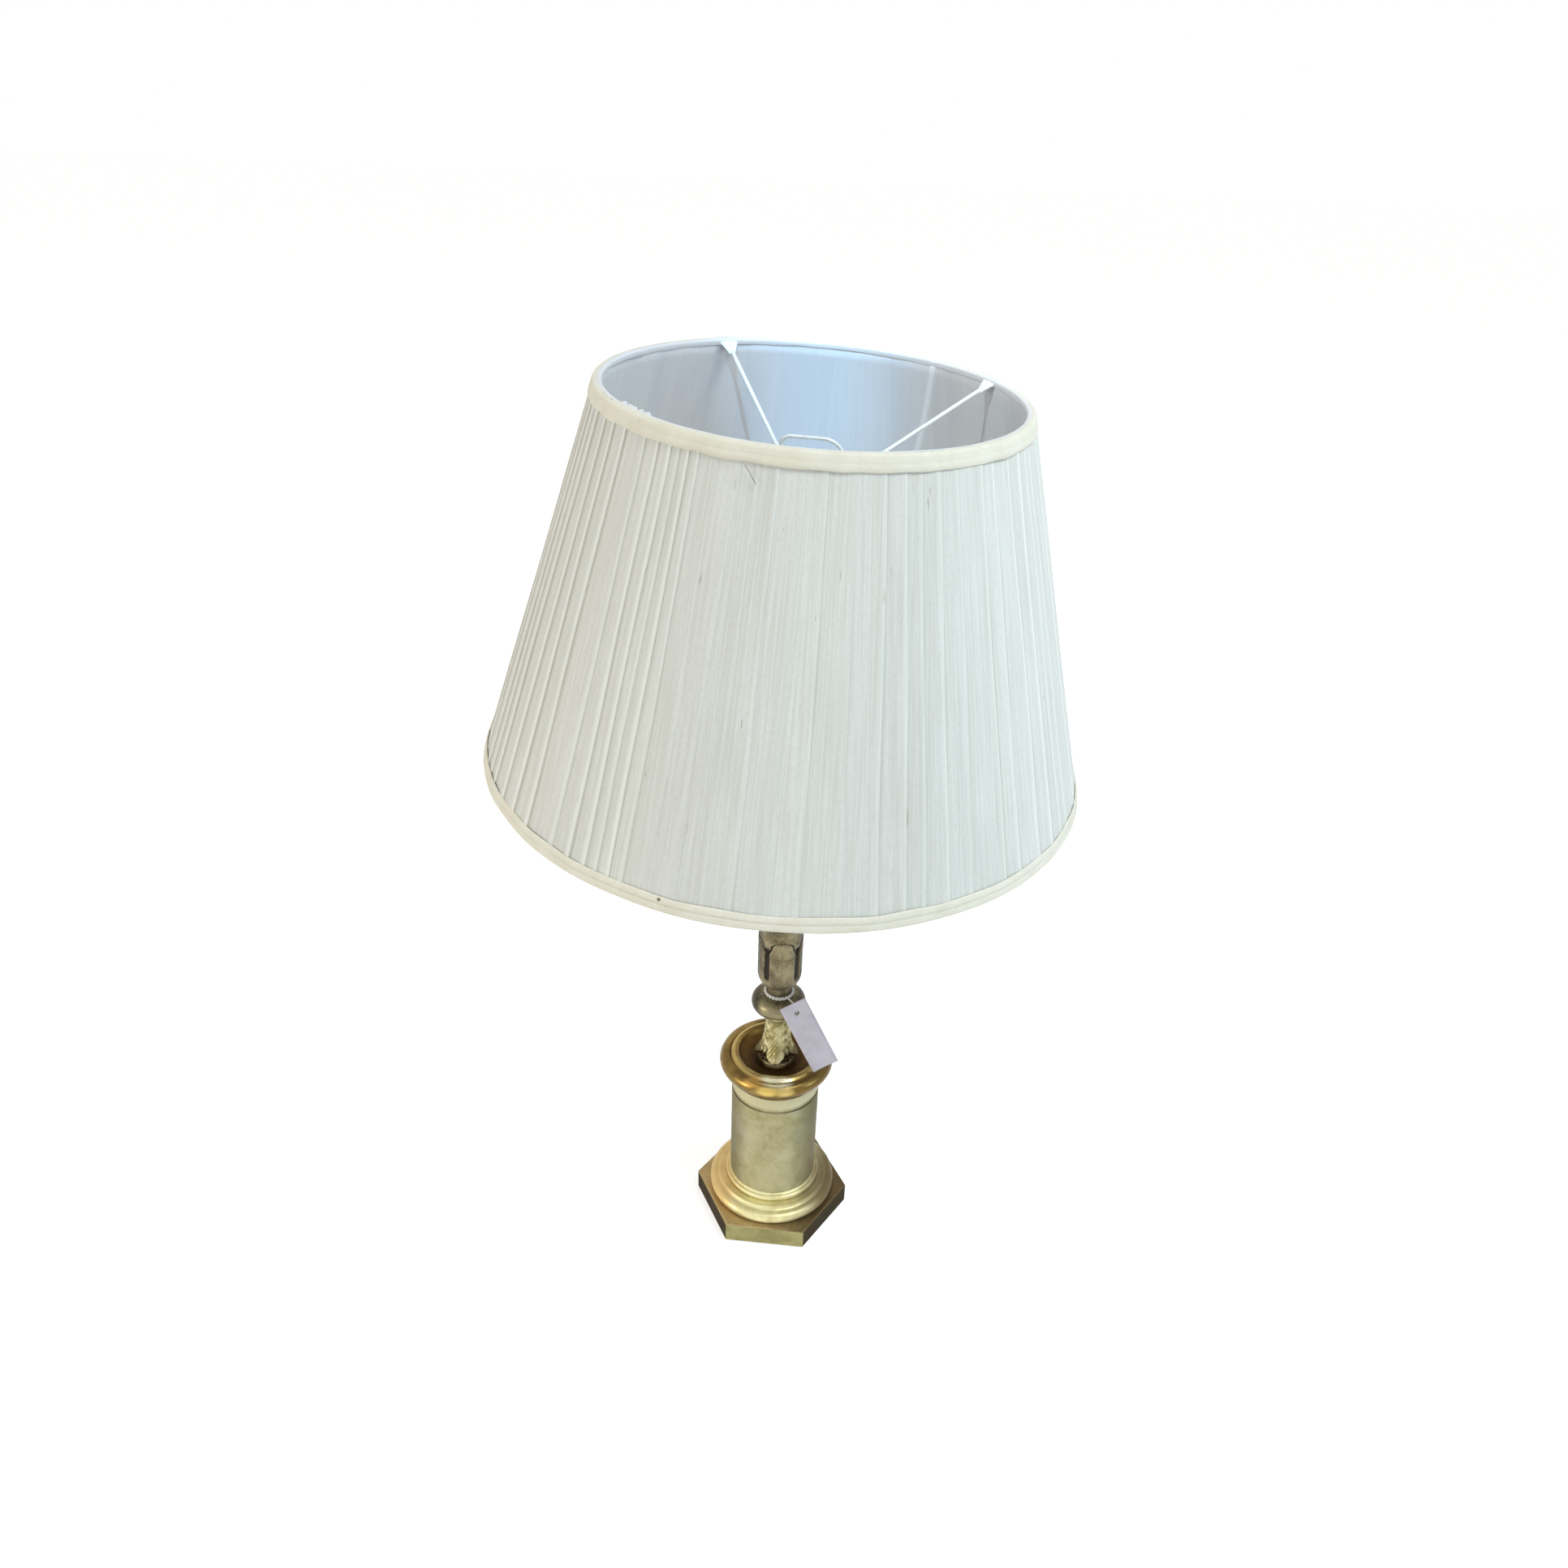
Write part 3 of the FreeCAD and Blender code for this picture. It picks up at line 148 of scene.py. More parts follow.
COLUMNS = 360                # round a turned relief
RELIEF_TOP, RELIEF_RANGE = 0.4, 1.9   # millimetres of relief that count as clean, and down to all grime

SPRING_WIRE, SPRING_TURNS = 0.22 * MM, 6.5
FELT_FUZZ = 0.06 * MM
FELT_ROUND = 0.4 * MM

# ---------------------------------------------------------------- the shade's lean, from the frame

swivel = next(joint for joint in frame["joints"] if joint["name"] == "shade_swivel")
PIVOT = np.array(swivel["pos_m"], float)
LEAN = np.array(Vector((0, 0, 1)).rotation_difference(Vector(swivel["axis"])).to_matrix(), float)


def lean(points):
    """Points built upright about Z, leaned as the shade and its carrier are."""
    return (np.asarray(points, float) - PIVOT) @ LEAN.T + PIVOT


def node_points(node):
    return np.array([v.co for v in frame["nodes"][node].data.vertices], float)


def upright(node):
    """The vertices of one of the shade's CAD nodes with the lean taken out."""
    return (node_points(node) - PIVOT) @ LEAN + PIVOT


def rim_of(node, side):
    """Radius and height of a trim's outer edge: side 1 for its top, -1 for its bottom."""
    points = upright(node)
    height = side * (side * points[:, 2]).max()
    level = points[abs(points[:, 2] - height) < 0.1 * MM]
    return np.hypot(level[:, 0], level[:, 1]).max(), height


BOTTOM_RADIUS, BOTTOM_Z = rim_of("bottom_trim", -1)
TOP_RADIUS, TOP_Z = rim_of("top_trim", 1)
SLOPE = (TOP_RADIUS - BOTTOM_RADIUS) / (TOP_Z - BOTTOM_Z)
COVER_LOW, COVER_HIGH = BOTTOM_Z + COVER_OFFSET, TOP_Z - COVER_OFFSET


def shade_radius(z):
    """Outer radius of the upright shade at a height, trims included."""
    return BOTTOM_RADIUS + SLOPE * (np.asarray(z, float) - BOTTOM_Z)


def at_front(radius, degrees, height):
    """Point at a radius, at degrees from the side that faces the camera."""
    angle = math.radians(FRONT + degrees)
    return (radius * math.cos(angle), radius * math.sin(angle), height)


def trim_leg(node, side, outside):
    """Length of a trim's outer or inner leg down or up from the shade's edge."""
    points = upright(node)
    radius = np.hypot(points[:, 0], points[:, 1])
    offset = shade_radius(points[:, 2]) - radius
    chosen = points[offset < 0.3 * MM] if outside else points[offset > offset.max() - 0.3 * MM]
    return abs(chosen[:, 2] - (TOP_Z if side > 0 else BOTTOM_Z)).max()


# ---------------------------------------------------------------- mesh helpers


def new_object(name, points, faces):
    mesh = bpy.data.meshes.new(name)
    mesh.from_pydata(np.asarray(points, float).reshape(-1, 3).tolist(), [], faces)
    mesh.update()
    mesh.shade_smooth()
    made = bpy.data.objects.new(name, mesh)
    bpy.context.scene.collection.objects.link(made)
    return made


def grid_faces(rows, cols, wrap_rows=False, wrap_cols=True, start=0, flip=False):
    """Quads of a rows by cols grid of points, whose first point has the given number."""
    faces = []
    for i in range(rows if wrap_rows else rows - 1):
        low, high = start + i * cols, start + (i + 1) % rows * cols
        for j in range(cols if wrap_cols else cols - 1):
            k = (j + 1) % cols
            quad = (low + j, low + k, high + k, high + j)
            faces.append(quad[::-1] if flip else quad)
    return faces


def shell(name, outer, inner):
    """Closed cloth between two grids of rings that go up: its outside and its inside."""
    rows, cols = outer.shape[:2]
    count = rows * cols
    faces = grid_faces(rows, cols) + grid_faces(rows, cols, start=count, flip=True)
    for row, flip in ((0, False), (rows - 1, True)):
        for j in range(cols):
            k = (j + 1) % cols
            a, b = row * cols + j, row * cols + k
            quad = (b, a, a + count, b + count)
            faces.append(quad[::-1] if flip else quad)
    return new_object(name, np.concatenate([outer.reshape(-1, 3), inner.reshape(-1, 3)]), faces)


def smooth(value, low, high):
    t = np.clip((value - low) / (high - low), 0, 1)
    return t * t * (3 - 2 * t)


def away_from(turn, centre_degrees):
    """Degrees from a centre, wrapped to -180..180."""
    return (np.degrees(turn) - centre_degrees + 180) % 360 - 180


def wrapped(turn):
    """Angles in radians, wrapped to -pi..pi."""
    return (turn + math.pi) % (2 * math.pi) - math.pi


def full_turn(count):
    return np.linspace(0, 2 * math.pi, count, endpoint=False)


def ring_points(angles, radii, heights):
    """Points at angles in radians, with arrays of radius and height that match them."""
    angles, radii, heights = np.broadcast_arrays(angles, radii, heights)
    return np.stack([radii * np.cos(angles), radii * np.sin(angles), heights], axis=-1)


def waves(angles, count, rng, low, high):
    """Smooth closed random wave round a circle, about 1 high, from a few whole harmonics."""
    total = np.zeros_like(angles)
    for _ in range(count):
        turns, phase = int(rng.integers(low, high)), rng.uniform(0, 2 * math.pi)
        total = total + np.sin(turns * angles + phase)
    return total / math.sqrt(count)


def bezier_chain(control, count=10):
    """Smooth line through the midpoints of a control polygon, starting and ending at its ends."""
    line = [control[0]]
    for a, b, c in zip(control, control[1:], control[2:]):
        start = a if a is control[0] else (a + b) / 2
        end = c if c is control[-1] else (b + c) / 2
        for k in range(1, count + 1):
            t = k / count
            line.append((1 - t) ** 2 * start + 2 * t * (1 - t) * b + t ** 2 * end)
    return np.array(line)


def tube_along(name, path, radius, sides, closed=False):
    """Round tube along a list of points, closed in a loop or capped at its ends."""
    path = np.asarray(path, float)
    count = len(path)
    ahead = np.roll(path, -1, 0) - np.roll(path, 1, 0)
    if not closed:
        ahead[0], ahead[-1] = path[1] - path[0], path[-1] - path[-2]
    ahead /= np.linalg.norm(ahead, axis=1)[:, None]
    side = np.cross(ahead[0], (0.31, 0.17, 0.93))
    rings, turn = [], full_turn(sides)[:, None]
    for point, way in zip(path, ahead):
        side = side - way * (side @ way)
        side /= np.linalg.norm(side)
        up = np.cross(way, side)
        rings.append(point + radius * (np.cos(turn) * side + np.sin(turn) * up))
    points = np.concatenate(rings)
    faces = grid_faces(count, sides, wrap_rows=closed)
    if not closed:
        faces += [tuple(range(sides))[::-1], tuple(range((count - 1) * sides, count * sides))]
    return new_object(name, points, faces)


def keep_value(piece, name, values):
    """Keep a value at each point of a mesh for its material."""
    kept = piece.data.attributes.new(name, "FLOAT", "POINT")
    kept.data.foreach_set("value", np.clip(values, 0, 1))


def thicken(piece, thickness):
    """Give a sheet its thickness, half of it to either side."""
    solid = piece.modifiers.new("thickness", "SOLIDIFY")
    solid.thickness, solid.offset = thickness, 0


def join(name, objects):
    """One object out of several."""
    with bpy.context.temp_override(active_object=objects[0], selected_editable_objects=objects):
        bpy.ops.object.join()
    objects[0].name = name
    objects[0].data.name = name
    return objects[0]


# ---------------------------------------------------------------- material helpers


def tone(red, green, blue):
    """Linear colour of an sRGB colour given in steps of 255."""
    linear = [c / 12.92 if c <= 0.04045 else ((c + 0.055) / 1.055) ** 2.4
              for c in (red / 255, green / 255, blue / 255)]
    return (*linear, 1.0)


class Nodes:
    """A node tree: each method adds nodes and returns the socket that carries the result."""

    def __init__(self, owner, output):
        owner.use_nodes = True
        self.nodes, self.links = owner.node_tree.nodes, owner.node_tree.links
        self.nodes.clear()
        self.output = self.nodes.new("ShaderNode" + output)

    def put(self, socket, value):
        if isinstance(value, bpy.types.NodeSocket):
            self.links.new(value, socket)
        else:
            socket.default_value = value

    def add(self, kind, values=(), **properties):
        node = self.nodes.new("ShaderNode" + kind)
        for key, value in properties.items():
            setattr(node, key, value)
        for key, value in dict(values).items():
            self.put(node.inputs[key], value)
        return node

    def place(self):
        return self.add("TexCoord").outputs["Object"]

    def math(self, operation, a, b=0.0):
        return self.add("Math", {0: a, 1: b}, operation=operation).outputs[0]

    def vector(self, operation, *values):
        return self.add("VectorMath", dict(enumerate(values)), operation=operation).outputs

    def parts(self, vector):
        return self.add("SeparateXYZ", {0: vector}).outputs

    def scaled(self, vector, scale):
        return self.vector("MULTIPLY", vector, scale)[0]

    def radius(self):
        """Distance from the Z axis."""
        return self.vector("LENGTH", self.scaled(self.place(), (1, 1, 0)))["Value"]

    def height(self):
        return self.parts(self.place())[2]

    def leaned(self, along):
        """Place on a cylinder about the shade's leaning axis, with heights multiplied by along."""
        moved = self.vector("SUBTRACT", self.place(), tuple(PIVOT))[0]
        values = {"Vector": moved, "Rotation": tuple(Matrix(LEAN.T.tolist()).to_euler())}
        place = self.add("Mapping", values, vector_type="POINT").outputs[0]
        way = self.vector("NORMALIZE", self.scaled(place, (1, 1, 0)))[0]
        flat = self.scaled(way, (CLOTH_CYLINDER, CLOTH_CYLINDER, 0))
        return self.vector("ADD", flat, self.scaled(place, (0, 0, along)))[0]

    def spot(self, point, outer, inner, stretch=(1.0, 1.0, 1.0)):
        """1 within the inner distance of a point, falling to 0 at the outer one."""
        place = self.scaled(self.place(), stretch)
        point = tuple(p * s for p, s in zip(point, stretch))
        return self.step(self.vector("DISTANCE", place, point)["Value"], outer, inner)

    def kept(self, name):
        """A value from 0 to 1 that the mesh keeps at its points."""
        return self.add("Attribute", attribute_name=name).outputs["Fac"]

    def noise(self, scale, detail=3.0, rough=0.5, vector=None, distortion=0.0):
        vector = vector or self.place()
        values = {"Vector": vector, "Scale": scale, "Detail": detail, "Roughness": rough,
                  "Distortion": distortion}
        return self.add("TexNoise", values).outputs["Fac"]

    def step(self, value, low, high, low_out=0.0, high_out=1.0):
        """Smooth step of a value from low to high."""
        values = {"Value": value, "From Min": low, "From Max": high, "To Min": low_out, "To Max": high_out}
        return self.add("MapRange", values, interpolation_type="SMOOTHSTEP").outputs[0]

    def mix(self, share, a, b):
        node = self.add("Mix", data_type="RGBA")
        for socket, value in zip((node.inputs[0], node.inputs[6], node.inputs[7]), (share, a, b)):
            self.put(socket, value)
        return node.outputs[2]

    def seen(self):
        """1 for camera, glossy and transmission rays, which see the white background."""
        rays = self.add("LightPath").outputs
        total = rays["Is Camera Ray"]
        for name in ("Is Glossy Ray", "Is Transmission Ray"):
            total = self.math("MAXIMUM", total, rays[name])
        return total


class Finish(Nodes):
    """A node material with one principled shader."""

    def __init__(self, name, **settings):
        self.material = bpy.data.materials.new(name)
        super().__init__(self.material, "OutputMaterial")
        self.shader = self.nodes.new("ShaderNodeBsdfPrincipled")
        self.links.new(self.shader.outputs[0], self.output.inputs[0])
        for key, value in settings.items():
            self.set(key.replace("_", " ").title(), value)

    def set(self, name, value):
        names = {"Ior": "IOR", "Specular Ior Level": "Specular IOR Level"}
        self.put(self.shader.inputs[names.get(name, name)], value)

    def bump(self, heights, distance, strength=1.0):
        """Bump from the sum of several (socket, weight) pairs."""
        total = None
        for socket, weight in heights:
            part = self.math("MULTIPLY", socket, weight)
            total = part if total is None else self.math("ADD", total, part)
        values = {"Height": total, "Distance": distance, "Strength": strength}
        self.set("Normal", self.add("Bump", values).outputs[0])


# ---------------------------------------------------------------- metals


def cast_metal(name, clean, dull, grime_and_shade, metallic, roughness, scale, tips=0.0, side_shade=0.0):
    """Cast brass: worn metal, dull patina in soft clouds, dark dirt in the relief's hollows, and painted shade on
    the side leaf tips or towards both sides where asked.
    """
    f = Finish(name, metallic=metallic, specular_ior_level=0.3)
    clouds = f.noise(scale, 6.0, 0.6, distortion=0.3)
    specks = f.noise(scale * 9, 4.0, 0.7)
    metal = f.mix(f.step(clouds, 0.38, 0.62), clean, dull)
    if tips:
        # painted shade: the leaf tips are darkened brown, least where they face the camera
        behind = f.step(f.parts(f.place())[1], -13.5 * MM, -10.5 * MM, 0.15, 1.0)
        brown = f.math("MULTIPLY", behind, f.step(f.radius(), 11.5 * MM, 14.5 * MM, 0.0, tips))
        metal = f.mix(brown, metal, tone(88, 68, 38))
    if side_shade:
        # painted shade: darker towards both sides
        away = f.math("ABSOLUTE", f.parts(f.place())[0])
        metal = f.mix(f.step(away, 11 * MM, 16.5 * MM, 0.0, side_shade), metal, grime_and_shade)
    dirt = f.math("MULTIPLY", f.step(specks, 0.5, 0.68), f.step(clouds, 0.4, 0.65, 0.0, 0.75))
    hollow = f.step(f.math("ADD", f.kept("crevice"), f.math("MULTIPLY", specks, 0.25)), 0.42, 0.95)
    metal = f.mix(f.math("MAXIMUM", dirt, hollow), metal, grime_and_shade)
    f.set("Base Color", metal)
    f.set("Roughness", f.step(specks, 0.3, 0.7, *roughness))
    f.bump(((specks, 1.0), (clouds, 1.5)), 0.00012, 0.5)
    return f.material


def aged_brass():
    """Plinth, moulding and foot ring: pale worn tops, a painted highlight to the left, painted shade to the right
    and on the plinth's slanting flats.
    """
    f = Finish("aged_brass", specular_ior_level=0.15)
    clouds = f.noise(60.0, 6.0, 0.6, distortion=0.4)
    specks = f.noise(520.0, 4.0, 0.7)
    place = f.parts(f.place())
    normal = f.parts(f.add("NewGeometry").outputs["True Normal"])
    metal = f.mix(f.step(clouds, 0.36, 0.64), tone(238, 230, 180), tone(212, 200, 148))
    # painted highlight, golden, to the left and painted shade, brown, to the right
    metal = f.mix(f.step(place[0], -14 * MM, -40 * MM, 0.0, 0.85), metal, tone(214, 180, 116))
    metal = f.mix(f.step(place[0], 10 * MM, 47 * MM, 0.0, 0.95), metal, tone(102, 84, 54))
    deck = frame_height("hex_plinth", 1)
    low = f.step(f.height(), deck + 1.4 * MM, deck - 0.2 * MM)
    # plinth top: lighter brown to the left, painted shade in darker brown to the right
    ledge = f.mix(f.step(place[0], -12 * MM, 36 * MM), tone(178, 152, 106), tone(98, 80, 52))
    patchy = f.step(f.noise(140.0, 4.0, 0.6), 0.2, 0.6, 0.75, 1.0)
    metal = f.mix(f.math("MULTIPLY", low, patchy), metal, ledge)
    # painted shade: the plinth's slanting flats are made dark, with less metal and more roughness
    upright_face = f.step(f.math("ABSOLUTE", normal[2]), 0.6, 0.2)
    flat = f.math("MULTIPLY", upright_face, f.step(f.height(), deck, deck - 1.5 * MM))
    front = f.mix(f.step(clouds, 0.36, 0.64), tone(160, 152, 104), tone(142, 133, 88))
    slanting = f.step(f.math("ABSOLUTE", normal[0]), 0.6, 0.8)
    metal = f.mix(flat, metal, f.mix(slanting, front, tone(58, 48, 30)))
    shaded_flats = f.math("MULTIPLY", flat, slanting)
    dirt = f.math("MULTIPLY", f.step(specks, 0.58, 0.72), f.step(clouds, 0.45, 0.7))
    f.set("Base Color", f.mix(f.math("MULTIPLY", dirt, 0.5), metal, tone(84, 70, 46)))
    f.set("Metallic", f.step(shaded_flats, 0.0, 1.0, 0.6, 0.0))
    f.set("Roughness", f.math("ADD", f.step(clouds, 0.3, 0.7, 0.34, 0.5), f.math("MULTIPLY", shaded_flats, 0.4)))
    turning = f.noise(1400.0, 2.0, 0.5, vector=f.scaled(f.place(), (0.02, 0.02, 1.0)))
    f.bump(((specks, 1.0), (turning, 0.4), (clouds, 2.0)), 0.00015, 0.5)
    return f.material


def frame_height(node, corner):
    """Lowest (0) or highest (1) point of a CAD node."""
    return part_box(node)[corner].z


GROOVE_DOWN = 14.1 * MM      # of the column's groove below its top


def cream_patina():
    """Column: cream lacquer over brass, blotched with age, with painted shade in its groove and towards both
    sides, most to the right.
    """
    f = Finish("cream_patina", metallic=0.1, specular_ior_level=0.15)
    clouds = f.noise(48.0, 7.0, 0.62, distortion=0.5)
    fine = f.noise(420.0, 5.0, 0.7)
    base = f.mix(f.step(clouds, 0.3, 0.7), tone(200, 191, 151), tone(172, 162, 118))
    base = f.mix(f.step(f.noise(22.0, 2.0, 0.5), 0.45, 0.62, 0.0, 0.5), base, tone(184, 182, 158))
    blot = f.math("MULTIPLY", f.step(fine, 0.5, 0.7), f.step(clouds, 0.35, 0.62))
    base = f.mix(f.math("MULTIPLY", blot, 0.55), base, tone(142, 127, 84))
    side = f.parts(f.place())[0]
    # painted shade: darker towards the right side and, a little less, towards the left
    base = f.mix(f.step(side, 12 * MM, 35.5 * MM, 0.0, 0.9), base, tone(96, 82, 46))
    base = f.mix(f.step(side, -15 * MM, -35.5 * MM, 0.0, 0.8), base, tone(108, 96, 66))
    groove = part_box("column")[1].z - GROOVE_DOWN
    base = f.mix(f.step(f.height(), groove + 1 * MM, groove + 5 * MM, 0.0, 0.7), base, tone(230, 221, 180))
    # painted shadow in the groove, weaker towards the front
    groove_shadow = f.step(f.math("ABSOLUTE", f.math("SUBTRACT", f.height(), groove)), 1.7 * MM, 0.4 * MM)
    worn = f.step(f.math("ABSOLUTE", side), 4 * MM, 24 * MM, 0.35, 0.9)
    base = f.mix(f.math("MULTIPLY", groove_shadow, worn), base, tone(88, 76, 46))
    f.set("Base Color", base)
    f.set("Roughness", f.step(clouds, 0.3, 0.7, 0.5, 0.64))
    f.bump(((clouds, 1.0), (fine, 0.5)), 0.0002, 0.4)
    return f.material


DISH_CREST = 34.0 * MM       # radius of the capital's upper edge
# painted highlights over the front of the rim: radius, degrees from the front, mm below the top,
# outer and inner distance, share, colour
PAINTED_HIGHLIGHTS = ((35.5, 0.0, 0.9, 8.0, 3.5, 1.0, (255, 248, 210)),
              (39.5, -24.0, 2.4, 6.0, 2.0, 0.8, (222, 172, 92)),
              (43.0, -8.0, 5.2, 5.5, 2.0, 0.8, (232, 200, 116)),
              (43.0, 10.0, 5.2, 5.5, 1.5, 0.7, (222, 196, 124)))


def polished_brass():
    """Lacquered brass of the capital: painted highlights on its crests and over the front, brown patina with
    painted shade in the dish, painted shade under the brim and to the right.
    """
    f = Finish("polished_brass", metallic=1.0)
    clouds = f.noise(80.0, 5.0, 0.6, distortion=0.5)
    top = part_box("capital_dish")[1].z
    drop = f.math("SUBTRACT", top, f.height())
    metal = f.mix(f.step(clouds, 0.35, 0.65), tone(140, 115, 64), tone(112, 90, 48))
    # painted highlight along the upper edge
    crest_highlight = f.step(f.math("ABSOLUTE", f.math("SUBTRACT", f.radius(), DISH_CREST)), 2.6 * MM, 0.6 * MM)
    crest_highlight = f.math("MULTIPLY", crest_highlight, f.step(drop, 3.0 * MM, 1.0 * MM, 0.0, 0.6))
    metal = f.mix(crest_highlight, metal, tone(206, 178, 112))
    # brown patina in the dish, with painted shade darkening it towards the vase's foot
    dish = f.math("MULTIPLY", f.step(f.radius(), 32.0 * MM, 27.0 * MM), f.step(drop, -0.5 * MM, 1.2 * MM))
    brown = f.mix(f.step(f.radius(), 16 * MM, 28 * MM), tone(70, 50, 28), tone(112, 84, 44))
    metal = f.mix(dish, metal, brown)
    # painted shade under the brim and on the right side
    metal = f.mix(f.step(drop, 8.5 * MM, 15.0 * MM, 0.0, 0.75), metal, tone(84, 66, 34))
    metal = f.mix(f.step(f.parts(f.place())[0], 10 * MM, 42 * MM, 0.0, 0.6), metal, tone(78, 62, 38))
    # painted highlights at the front of the rim
    for radius, degrees, down, outer, inner, share, colour in PAINTED_HIGHLIGHTS:
        point = at_front(radius * MM, degrees, top - down * MM)
        worn = f.spot(point, outer * MM, inner * MM, (0.5, 1.0, 1.0))
        metal = f.mix(f.math("MULTIPLY", worn, share), metal, tone(*colour))
    f.set("Base Color", metal)
    f.set("Roughness", f.math("ADD", f.step(clouds, 0.3, 0.7, 0.2, 0.32), f.math("MULTIPLY", dish, 0.3)))
    turning = f.noise(1600.0, 2.0, 0.5, vector=f.scaled(f.place(), (0.02, 0.02, 1.0)))
    f.bump(((turning, 1.0), (clouds, 2.0)), 0.00006, 0.4)
    return f.material


def cast_brass():
    return cast_metal("cast_brass", tone(222, 213, 164), tone(164, 151, 100), tone(66, 53, 30), 0.6,
                      (0.3, 0.48), 110.0, tips=0.85)


def bronze_brown():
    return cast_metal("bronze_brown", tone(148, 137, 105), tone(112, 102, 76), tone(36, 29, 19), 0.55,
                      (0.32, 0.48), 80.0, side_shade=0.7)


def two_tone(name, light, dark, clouds, spread, grain, rough, bump=None, stretch=None, **settings):
    """Two colours in soft clouds, with a fine grain in the roughness and the bump.

    clouds and grain are noises: scale, detail, roughness; bump is its distance and strength.
    """
    f = Finish(name, **settings)
    fine = f.noise(*grain, vector=f.scaled(f.place(), stretch) if stretch else None)
    f.set("Base Color", f.mix(f.step(f.noise(*clouds), *spread), light, dark))
    f.set("Roughness", f.step(fine, 0.3, 0.7, *rough))
    if bump:
        f.bump([(fine, 1.0)], *bump)
    return f.material


def plain_metal(name, colour, roughness):
    """Turned or drawn metal with fine lines round it."""
    darker = tuple(c * 0.72 for c in colour[:3]) + (1.0,)
    return two_tone(name, colour, darker, (120.0, 4.0, 0.6), (0.35, 0.7), (1500.0, 3.0, 0.6),
                    (roughness - 0.08, roughness + 0.1), (0.00004, 0.5), (0.02, 0.02, 1.0), metallic=1.0)


def ballast_iron():
    return two_tone("ballast_iron", tone(70, 68, 66), tone(96, 72, 54), (60.0, 5.0, 0.6), (0.4, 0.65),
                    (420.0, 6.0, 0.7), (0.55, 0.8), (0.0004, 0.7), metallic=0.6)


# ---------------------------------------------------------------- plastics, wire, glass


def moulded(name, light, dark, roughness, coat=0.0):
    """Moulded plastic or rubber."""
    return two_tone(name, light, dark, (45.0, 5.0, 0.6), (0.35, 0.7), (1300.0, 2.0, 0.5),
                    (roughness - 0.05, roughness + 0.07), (0.00004, 0.4), coat_weight=coat,
                    coat_roughness=0.12)


def white_wire():
    """White enamel on wire, slightly orange-peeled, with yellowed spots."""
    return two_tone("white_wire", tone(232, 238, 240), tone(216, 214, 204), (90.0, 5.0, 0.6), (0.5, 0.75),
                    (1500.0, 2.0, 0.4), (0.28, 0.4), (0.00006, 0.5), coat_weight=0.5, coat_roughness=0.15)


def bulb_glass():
    """Pearl glass: frosted white from inside, smooth outside."""
    return two_tone("bulb_glass", tone(244, 243, 238), tone(234, 232, 226), (60.0, 3.0, 0.5), (0.4, 0.7),
                    (60.0, 3.0, 0.5), (0.36, 0.46), transmission_weight=0.25, coat_weight=0.8,
                    coat_roughness=0.04, subsurface_weight=0.2, ior=1.46)


# ---------------------------------------------------------------- cloth, card, string, felt


def cover_silk():
    """Off-white silk with a soft mottle, faint threads along the pleats, a few dark slubs, painted shade in the
    folds and painted highlights on their ridges.
    """
    f = Finish("cover_silk", sheen_weight=0.15, sheen_roughness=0.5, specular_ior_level=0.3)
    mottle = f.noise(650.0, 3.0, 0.6, vector=f.leaned(0.6))
    bands = f.noise(60.0, 3.0, 0.5, vector=f.leaned(0.05))
    slubs = f.noise(420.0, 1.0, 0.5, vector=f.leaned(0.11))
    flecks = f.math("MULTIPLY", f.step(slubs, 0.73, 0.78), f.step(f.noise(34.0, 1.0), 0.5, 0.6))
    threads = f.noise(900.0, 2.0, 0.5, vector=f.leaned(0.02))
    base = f.mix(f.step(bands, 0.3, 0.7), tone(219, 220, 217), tone(212, 213, 209))
    base = f.mix(f.step(threads, 0.3, 0.6, 0.32, 0.0), base, tone(190, 188, 178))
    base = f.mix(f.step(threads, 0.5, 0.8, 0.0, 0.4), base, tone(230, 232, 229))
    base = f.mix(f.step(mottle, 0.4, 0.75, 0.0, 0.35), base, tone(200, 198, 190))
    base = f.mix(f.math("MULTIPLY", flecks, 0.6), base, tone(150, 142, 126))
    # painted shade in the pleats' creases and painted highlights on their ridges, from the kept fold value
    base = f.mix(f.step(f.kept("fold"), 0.48, 0.0, 0.0, 0.6), base, tone(156, 145, 122))
    base = f.mix(f.step(f.kept("fold"), 0.55, 1.0, 0.0, 0.7), base, tone(240, 242, 238))
    f.set("Base Color", base)
    f.set("Roughness", f.step(mottle, 0.3, 0.7, 0.66, 0.8))
    weave = f.noise(2300.0, 2.0, 0.6, vector=f.leaned(0.7))
    f.bump(((mottle, 0.6), (weave, 0.4), (flecks, 0.5), (threads, 0.8)), 0.0002, 0.5)
    return f.material


def lining_cloth():
    """Cool white acetate lining with a soft satin gloss."""
    f = Finish("lining_cloth", sheen_weight=0.1, sheen_roughness=0.4, specular_ior_level=0.4)
    streaks = f.noise(420.0, 3.0, 0.5, vector=f.leaned(0.04))
    bands = f.noise(40.0, 3.0, 0.5, vector=f.leaned(0.08))
    base = f.mix(f.step(streaks, 0.3, 0.7, 0.0, 0.5), tone(209, 209, 211), tone(202, 202, 205))
    base = f.mix(f.step(bands, 0.4, 0.7, 0.0, 0.5), base, tone(194, 195, 202))
    base = f.mix(f.math("MULTIPLY", f.kept("seam"), 0.7), base, tone(236, 238, 242))
    f.set("Base Color", base)
    f.set("Roughness", f.step(streaks, 0.3, 0.7, 0.42, 0.55))
    f.bump(((streaks, 0.5), (bands, 2.0)), 0.0001, 0.4)
    return f.material


